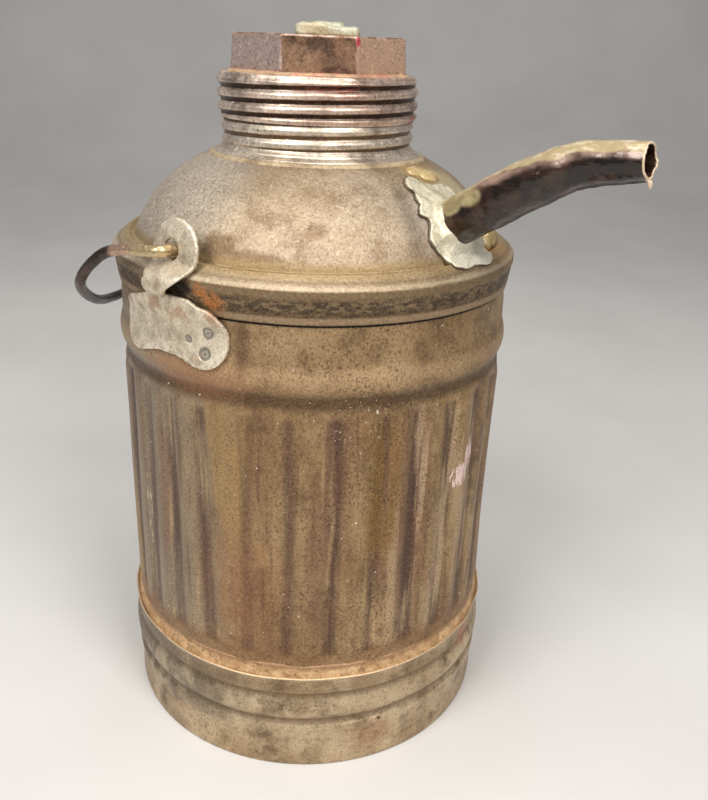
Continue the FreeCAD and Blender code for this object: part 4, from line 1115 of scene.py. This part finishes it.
def make_spout():
    """Tapered tube with wrinkled lacquer, a lapped seam underneath and a ragged tip."""
    stations, columns, wall = 110, 96, 0.8
    line = smooth_line(SPOUT_LINE, stations)
    centre = np.stack([line[:, 0], 0 * line[:, 0], line[:, 1]], axis=1)
    along = directions(centre)
    upward = np.cross(along, SIDEWAYS)
    angle = np.linspace(0, FULL_TURN, columns, endpoint=False)[None, :]
    travel = np.linspace(0, 1, stations)[:, None]
    seam = np.exp(-((angle - 1.5 * math.pi) / 0.1) ** 2) * ease(line[:, :1], 73, 80) * 0.75
    outer = line[:, 2:] + seam
    inner = line[:, 2:] - wall

    def ring(reach):
        """Points at a reach from the centre line, for each station and angle."""
        across = reach[..., None] * np.cos(angle)[..., None] * SIDEWAYS
        rise = reach[..., None] * np.sin(angle)[..., None] * upward[:, None, :]
        return centre[:, None, :] + across + rise

    facing = (ring(outer) - centre[:, None, :]) / outer[..., None]
    wrinkle = np.zeros((stations, columns))
    for row, column in np.ndindex(wrinkle.shape):
        spot = Vector(centre[row] + facing[row, column] * outer[row, 0])
        dents = noise.noise(spot / 8.0 + Vector((3, 1, 7)))
        wrinkle[row, column] = 0.5 * dents + 0.2 * noise.noise(spot / 2.6)
    fade = ease(travel, 0.22, 0.34) * (1 - 0.6 * ease(travel, 0.7, 1.0))
    outside = ring(outer + wrinkle * fade * (0.5 + 0.5 * (facing[..., 1] < 0.4)))
    inside = ring(inner + 0 * angle)[::-1]
    ragged = 0.22 * waver(angle, 0.0, 81, 2, 8) + 0.06 * waver(angle, 0.0, 82, 9, 20)
    share = ease(travel, 0.955, 1.0)
    outside += (share * ragged)[..., None] * along[-1]
    inside += (share[::-1] * ragged)[..., None] * along[-1]
    tip = ((outside[-1] + inside[0]) / 2 + 0.25 * along[-1])[None]
    root = ((outside[0] + inside[-1]) / 2 - 0.2 * along[0])[None]
    loop = np.concatenate([outside, tip, inside, root])
    bare = 2 * ease(travel, 0.985, 0.995)
    upper = np.concatenate([facing[..., 2] * (bare < 1) + bare, np.full((1, columns), 2.0),
                            np.broadcast_to(bare[::-1], (stations, columns)),
                            np.zeros((1, columns))])
    piece = grid_piece("spout_lacquered", [loop], hollow=upper)
    place(piece, spout_look(), "can", "black_lacquer", "spout_tube")
    make_seam_end(centre[-1], along[-1], upward[-1], line[-1, 2], piece)


def tube_grid(line, radii, columns):
    """Rings around a line of points, turned as little as possible from one to the next."""
    along = directions(line)
    side = np.cross(along[0], [0.31, 0.22, 0.93])
    angle = np.linspace(0, FULL_TURN, columns, endpoint=False)[:, None]
    rings = []
    for point, direction, radius in zip(line, along, radii):
        side = side - direction * (side @ direction)
        side = side / np.linalg.norm(side)
        across = np.cross(direction, side)
        rings.append(point + radius * (np.cos(angle) * side + np.sin(angle) * across))
    return np.array(rings)


def make_seam_end(tip, along, upward, radius, spout):
    """Small curled end of the lapped seam, hanging below the spout's mouth."""
    stations = 40
    corners = [(-1.3, 0.5, -1.0), (-1.05, -0.3, 0.1), (-0.75, -1.4, 0.35), (-0.1, -2.1, 0.3),
               (0.6, -1.5, 0.25), (0.8, -0.4, 0.0), (1.1, 0.5, -1.2)]
    points = [tip + SIDEWAYS * across + upward * (rise - radius) + along * out
              for across, rise, out in corners]
    tube = tube_grid(smooth_line(points, stations), np.full(stations, 0.45), 12)
    grid = roughen(tube, 0.8, 0.12, 6)
    hollow = np.full(grid.shape[:2], 2.0)
    piece = grid_piece("spout_seam_end", [grid], loop_rows=False, hollow=hollow)
    piece.data.materials.append(spout.data.materials[0])
    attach(piece, "can")


def above_can(point):
    """Distance of points outside the dome and the shoulder's ledge, smoothed where they meet."""
    blend, slope = 0.5, (0.607, 0.795)
    centre = arc_centre(DOME_FOOT, DOME_HEAD, DOME_ARC, 1)
    out = np.hypot(point[..., 0], point[..., 1])
    dome = np.hypot(out - centre[0], point[..., 2] - centre[1]) - DOME_ARC
    rise = point[..., 2] - LEDGE_EDGE[1]
    ledge = np.maximum(rise, slope[0] * (out - LEDGE_EDGE[0]) + slope[1] * rise)
    return -blend * np.log(np.exp(-dome / blend) + np.exp(-ledge / blend))


def on_can(start, along, offset, proud):
    """Where lines along the spout, moved sideways, come within a distance of the dome or ledge."""
    near, far = np.full(offset.shape[:-1], -15.0), np.full(offset.shape[:-1], 30.0)
    halvings = 40
    for _ in range(halvings):
        middle = (near + far) / 2
        inside = above_can(start + offset + along * middle[..., None]) < proud
        near, far = np.where(inside, middle, near), np.where(inside, far, middle)
    return start + offset + along * near[..., None]


# Edge of the solder patch, going round the spout: degrees around the can, radius and level
PATCH_EDGE = [
    (-5.7, 46.9, 229.4), (-8.5, 47.2, 229.3), (-12.6, 50.0, 227.6), (-12.5, 52.3, 226.1),
    (-11.0, 53.7, 225.1), (-12.2, 55.8, 223.3), (-11.8, 57.6, 221.7), (-13.1, 59.1, 220.2),
    (-13.6, 60.6, 218.6), (-11.3, 62.0, 217.0), (-12.9, 64.5, 213.6), (-13.7, 66.5, 210.4),
    (-12.0, 68.1, 207.3), (-10.3, 69.6, 204.0), (-9.4, 74.0, 202.9), (-6.9, 75.0, 202.2),
    (-1.8, 75.5, 201.8), (3.5, 75.9, 201.5), (7.0, 74.9, 202.2), (10.9, 72.1, 203.4),
    (13.6, 69.2, 204.9), (13.4, 66.8, 210.0), (12.8, 63.8, 215.0), (12.2, 59.8, 219.5),
    (11.6, 56.6, 222.5), (11.1, 54.2, 224.6), (7.9, 52.4, 226.0), (0.9, 51.4, 226.7),
    (-3.7, 49.3, 228.1)]

# Section of the patch from its edge to the tube: share of the way out, and height over the can
PATCH_SECTION = [(1.0, -0.4), (1.0, 0.35), (0.985, 0.75), (0.95, 1.0), (0.88, 1.1), (0.8, 1.15),
                 (0.7, 1.2), (0.6, 1.3), (0.5, 1.4), (0.4, 1.5), (0.3, 1.6), (0.2, 1.8),
                 (0.12, 2.1), (0.05, 2.7), (0.0, 3.3), (-0.12, 3.3), (-0.12, -0.5)]


def make_spout_patch():
    """Ragged solder collar that lies on the dome and climbs a little way up the spout."""
    start, along = spout_base()
    upward = np.cross(along, SIDEWAYS)
    turns, reaches, levels = np.array(PATCH_EDGE).T
    turns = np.radians(turns)
    offset = np.stack([reaches * np.cos(turns), reaches * np.sin(turns), levels], axis=1) - start
    flat = np.stack([offset @ SIDEWAYS, offset @ upward], axis=1)
    steps = 20
    closed = smooth_line(np.vstack([flat[-1:], flat, flat[:2]]), steps * (len(flat) + 2) + 1)
    edge = closed[steps:-steps - 1]
    turn = np.linspace(0, FULL_TURN, len(edge), endpoint=False)[:, None]
    edge = edge * (1 + 0.01 * waver(turn, 0.0, 91, 6, 22) + 0.006 * waver(turn, 0.0, 92, 20, 50))
    reach = np.linalg.norm(edge, axis=1)[None, :, None]
    outward = (edge[:, :1] * SIDEWAYS + edge[:, 1:] * upward)[None] / reach
    tube = 8.55
    shares, proud = np.array(PATCH_SECTION).T
    offsets = outward * (tube + (reach - tube) * shares[:, None, None])
    points = on_can(start, along, offsets, np.broadcast_to(proud[:, None], offsets.shape[:2]))
    lifted = np.clip(proud, 0.0, 1.0)[:, None, None]
    points = points + (roughen(points, 6.0, 0.9, 7) - points) * lifted
    points = points + (roughen(points, 2.4, 0.25, 8) - points) * lifted
    hollow = np.broadcast_to(np.clip(shares, 0.0, 1.0)[:, None], points.shape[:2]) ** 6
    piece = grid_piece("spout_solder", [points], hollow=hollow)
    place(piece, patch_look(), "can", "solder", "spout_patch")


# Lumps of sealant: degrees around the can, level, and half lengths across, along and outwards
SEALANT_LUMPS = [(2.6, 230.3, (5.2, 3.2, 1.0)), (7.4, 228.6, (5.4, 3.4, 1.1)),
                 (20.5, 206.6, (4.0, 4.4, 2.9)), (25.0, 205.6, (4.4, 3.6, 2.2)),
                 (17.0, 205.2, (3.2, 3.0, 1.7))]


def make_sealant():
    """Lumps of old amber sealant above the patch and at the dome's foot beside the spout."""
    centre = arc_centre(DOME_FOOT, DOME_HEAD, DOME_ARC, 1)
    grids = []
    for seed, (degrees, level, radii) in enumerate(SEALANT_LUMPS, start=1):
        angle = math.radians(degrees)
        outward = np.array([math.cos(angle), math.sin(angle), 0.0])
        rise = level - centre[1]
        normal = math.sqrt(DOME_ARC ** 2 - rise ** 2) * outward + [0.0, 0.0, rise]
        point = centre[0] * outward + [0.0, 0.0, centre[1]] + normal
        grids.append(lump_grid(point, radii, seed, normal, size=3.5, reach=0.3))
    piece = remeshed(grid_piece("sealant_lumps", grids, loop_rows=False), voxel=0.35, passes=4)
    place(piece, sealant_look(), "can", "amber_sealant", "spout_sealant")


# Lugs and bail

# Spot-weld marks on both lugs: X, level and radius
WELDS = [(19.4, 182.0, 2.3), (18.0, 174.6, 2.6), (11.4, 178.5, 1.6), (-14.6, 180.5, 2.4),
         (-10.5, 176.0, 2.0), (-16.5, 173.5, 1.6)]


def make_lug(name, node, side):
    """A lug with worn edges, uneven faces and spot-weld marks; side is -1 or 1 along Y."""
    source = frame["nodes"][node].data.copy()
    work = bmesh.new()
    work.from_mesh(source)
    bmesh.ops.remove_doubles(work, verts=work.verts, dist=0.002 * MM)
    work.to_mesh(source)
    work.free()
    piece = remeshed(new_piece(name, source), voxel=0.42, passes=3)
    vertices = piece.data.vertices
    flat = np.empty(len(vertices) * 3)
    vertices.foreach_get("co", flat)
    points = flat.reshape(-1, 3) / MM
    mark = np.zeros(len(points))
    sunk = np.zeros(len(points))
    for x, level, radius in WELDS:
        distance = np.hypot(points[:, 0] - x, points[:, 2] - level) / radius
        rings = 0.5 + 0.5 * np.cos(distance * FULL_TURN * 1.4)
        strength = 1.0 if x > 0 else 0.35
        inside = strength * (1 - ease(distance, 0.85, 1.05))
        mark = np.maximum(mark, inside * (0.35 + 0.65 * rings))
        sunk += inside * (0.12 + 0.16 * rings)
    points[:, 1] -= side * sunk * (points[:, 2] < SEAM - 1)
    points = roughen(roughen(points, 9.0, 0.35, 4), 2.0, 0.12, 5)
    vertices.foreach_set("co", np.ravel(points) * MM)
    store_hollow(piece.data, mark)
    piece.data.update()
    piece.data.shade_smooth()
    return piece


def make_lugs():
    """The visible lug at -Y and its twin at +Y."""
    look = lug_look()
    place(make_lug("lug_zinc_left", "lug_left", -1), look, "can", "galvanised", "lug_left")
    place(make_lug("lug_zinc_right", "lug_right", 1), look, "can", "galvanised", "lug_right")


# Half of the bail at -Y: X, distance from the middle plane, height over the pivot
BAIL_LINE = [(2.4, 71.5, 0.0), (2.4, 75.0, 0.0), (1.8, 79.6, 0.0), (-3.5, 81.0, -0.6),
             (-12.0, 81.4, -1.6), (-25.0, 82.0, -4.6), (-35.0, 81.6, -11.0), (-45.0, 79.0, -19.6),
             (-57.0, 70.2, -28.2), (-71.0, 56.0, -36.4), (-84.0, 40.0, -41.6), (-93.6, 21.0, -43.9),
             (-97.2, 0.0, -44.6)]


def make_bail():
    """One wire with its ends turned in through the lugs, bent by hand."""
    half = [(x, -out, PIVOT + rise) for x, out, rise in BAIL_LINE]
    line = smooth_line(half + [(x, -y, z) for x, y, z in reversed(half[:-1])], 420)
    free = ease(-line[:, :1], 6, 30)
    travel = np.linspace(0, 1, len(line))[:, None]
    waves = [np.sin(travel * 41), np.cos(travel * 33), np.sin(travel * 37 + 2)]
    line = line + free * 0.35 * np.concatenate(waves, axis=1)
    radii = np.full(len(line), 1.98)
    radii[[0, -1]], radii[[1, -2]] = 1.2, 1.8
    grid = roughen(tube_grid(line, radii, 24), 2.4, 0.07, 9)
    piece = grid_piece("bail_loop", [grid], loop_rows=False)
    place(piece, bail_look(), "bail", "bail_steel", "bail_wire")


# CAD nodes that keep their own shape


def finish_cad_nodes():
    """Gives the hidden CAD pieces their finishes."""
    finishes = {"bottom_plate": band_look(), "cap_gasket": cork_look(),
                "base_solder": solder_look("rim_solder", (190, 182, 160), (130, 120, 98))}
    for node, material in finishes.items():
        mesh = frame["nodes"][node].data
        mesh.materials.clear()
        mesh.materials.append(material)


# Floor, light and camera


def make_stage():
    """Plain pale floor that curves up into a backdrop."""
    look = Look("floor_paper")
    look.two_tone((205, 203, 200), (212, 210, 207), look.blots(180, 0.3, 0.7, detail=3))
    look.done(0.0, 0.75)
    half_width = 4.0
    sweep = [(-3.0, 0.0), (0.9, 0.0), (1.2, 0.03), (1.45, 0.12), (1.62, 0.3), (1.7, 0.6),
             (1.7, 2.6)]
    points = [(x, y, z) for y, z in sweep for x in (-half_width, half_width)]
    turn = np.array(Matrix.Rotation(CAMERA_AZIMUTH, 3, "Z"))
    flat = (np.array(points) @ turn.T).tolist()
    faces = [(2 * row, 2 * row + 1, 2 * row + 3, 2 * row + 2) for row in range(len(sweep) - 1)]
    mesh = bpy.data.meshes.new("floor")
    mesh.from_pydata(flat, [], faces)
    mesh.shade_smooth()
    floor = new_piece("floor", mesh)
    mesh.materials.append(look.material)


CAMERA_AZIMUTH = math.radians(41)
CAMERA_PLACE = Vector((217.97, -250.74, 271.7)) * MM
CAMERA_FORWARD = Vector((-0.5646, 0.7252, -0.3943)).normalized()
CAMERA_ROLL = math.radians(2.286)
CAMERA_LENS = 37.44
TARGET = Vector((0, 0, 140)) * MM


def make_camera():
    """Camera at the viewing angle, a little over the can's shoulder."""
    data = bpy.data.cameras.new("camera")
    data.lens = CAMERA_LENS
    data.sensor_width = 36
    data.clip_start = 0.01
    camera = bpy.data.objects.new("camera", data)
    bpy.context.scene.collection.objects.link(camera)
    right = CAMERA_FORWARD.cross(Vector((0, 0, 1))).normalized()
    up = right.cross(CAMERA_FORWARD)
    rolled_right = right * math.cos(CAMERA_ROLL) + up * math.sin(CAMERA_ROLL)
    rolled_up = up * math.cos(CAMERA_ROLL) - right * math.sin(CAMERA_ROLL)
    axes = Matrix((rolled_right, rolled_up, -CAMERA_FORWARD)).transposed()
    camera.matrix_world = Matrix.Translation(CAMERA_PLACE) @ axes.to_4x4()
    bpy.context.scene.camera = camera


def make_light(name, degrees, distance, height, size, power, colour=(1, 1, 1)):
    """An area light aimed at the can, at an angle to the right of the camera's direction."""
    data = bpy.data.lights.new(name, "AREA")
    data.shape = "RECTANGLE"
    data.size, data.size_y = size
    data.energy = power
    data.color = colour
    lamp = bpy.data.objects.new(name, data)
    bpy.context.scene.collection.objects.link(lamp)
    angle = CAMERA_AZIMUTH - math.pi / 2 + math.radians(degrees)
    lamp.location = (distance * math.cos(angle), distance * math.sin(angle), height)
    lamp.rotation_euler = (TARGET - lamp.location).to_track_quat("-Z", "Y").to_euler()


def make_lights():
    """Soft studio light: two softboxes in front, one above and a pale surround."""
    make_light("key", -40, 0.75, 0.9, (0.5, 0.6), 8.4, (1.0, 0.97, 0.93))
    make_light("second", 30, 0.8, 0.85, (0.4, 0.6), 7.4, (1.0, 0.97, 0.93))
    make_light("above", 0, 0.1, 1.3, (0.6, 0.6), 5.0)
    world = bpy.data.worlds.new("studio")
    world.use_nodes = True
    surround = world.node_tree.nodes["Background"].inputs
    surround["Color"].default_value = (0.64, 0.64, 0.66, 1)
    surround["Strength"].default_value = 0.36
    bpy.context.scene.world = world
    bpy.context.scene.view_settings.view_transform = "Standard"


for make in (make_camera, make_lights, make_stage, make_body, make_band, make_foot_solder,
             make_dome, make_neck, make_neck_solder, make_cap, make_crown, make_crown_solder,
             make_crown_patch, make_spout, make_spout_patch, make_sealant, make_lugs, make_bail,
             finish_cad_nodes):
    make()
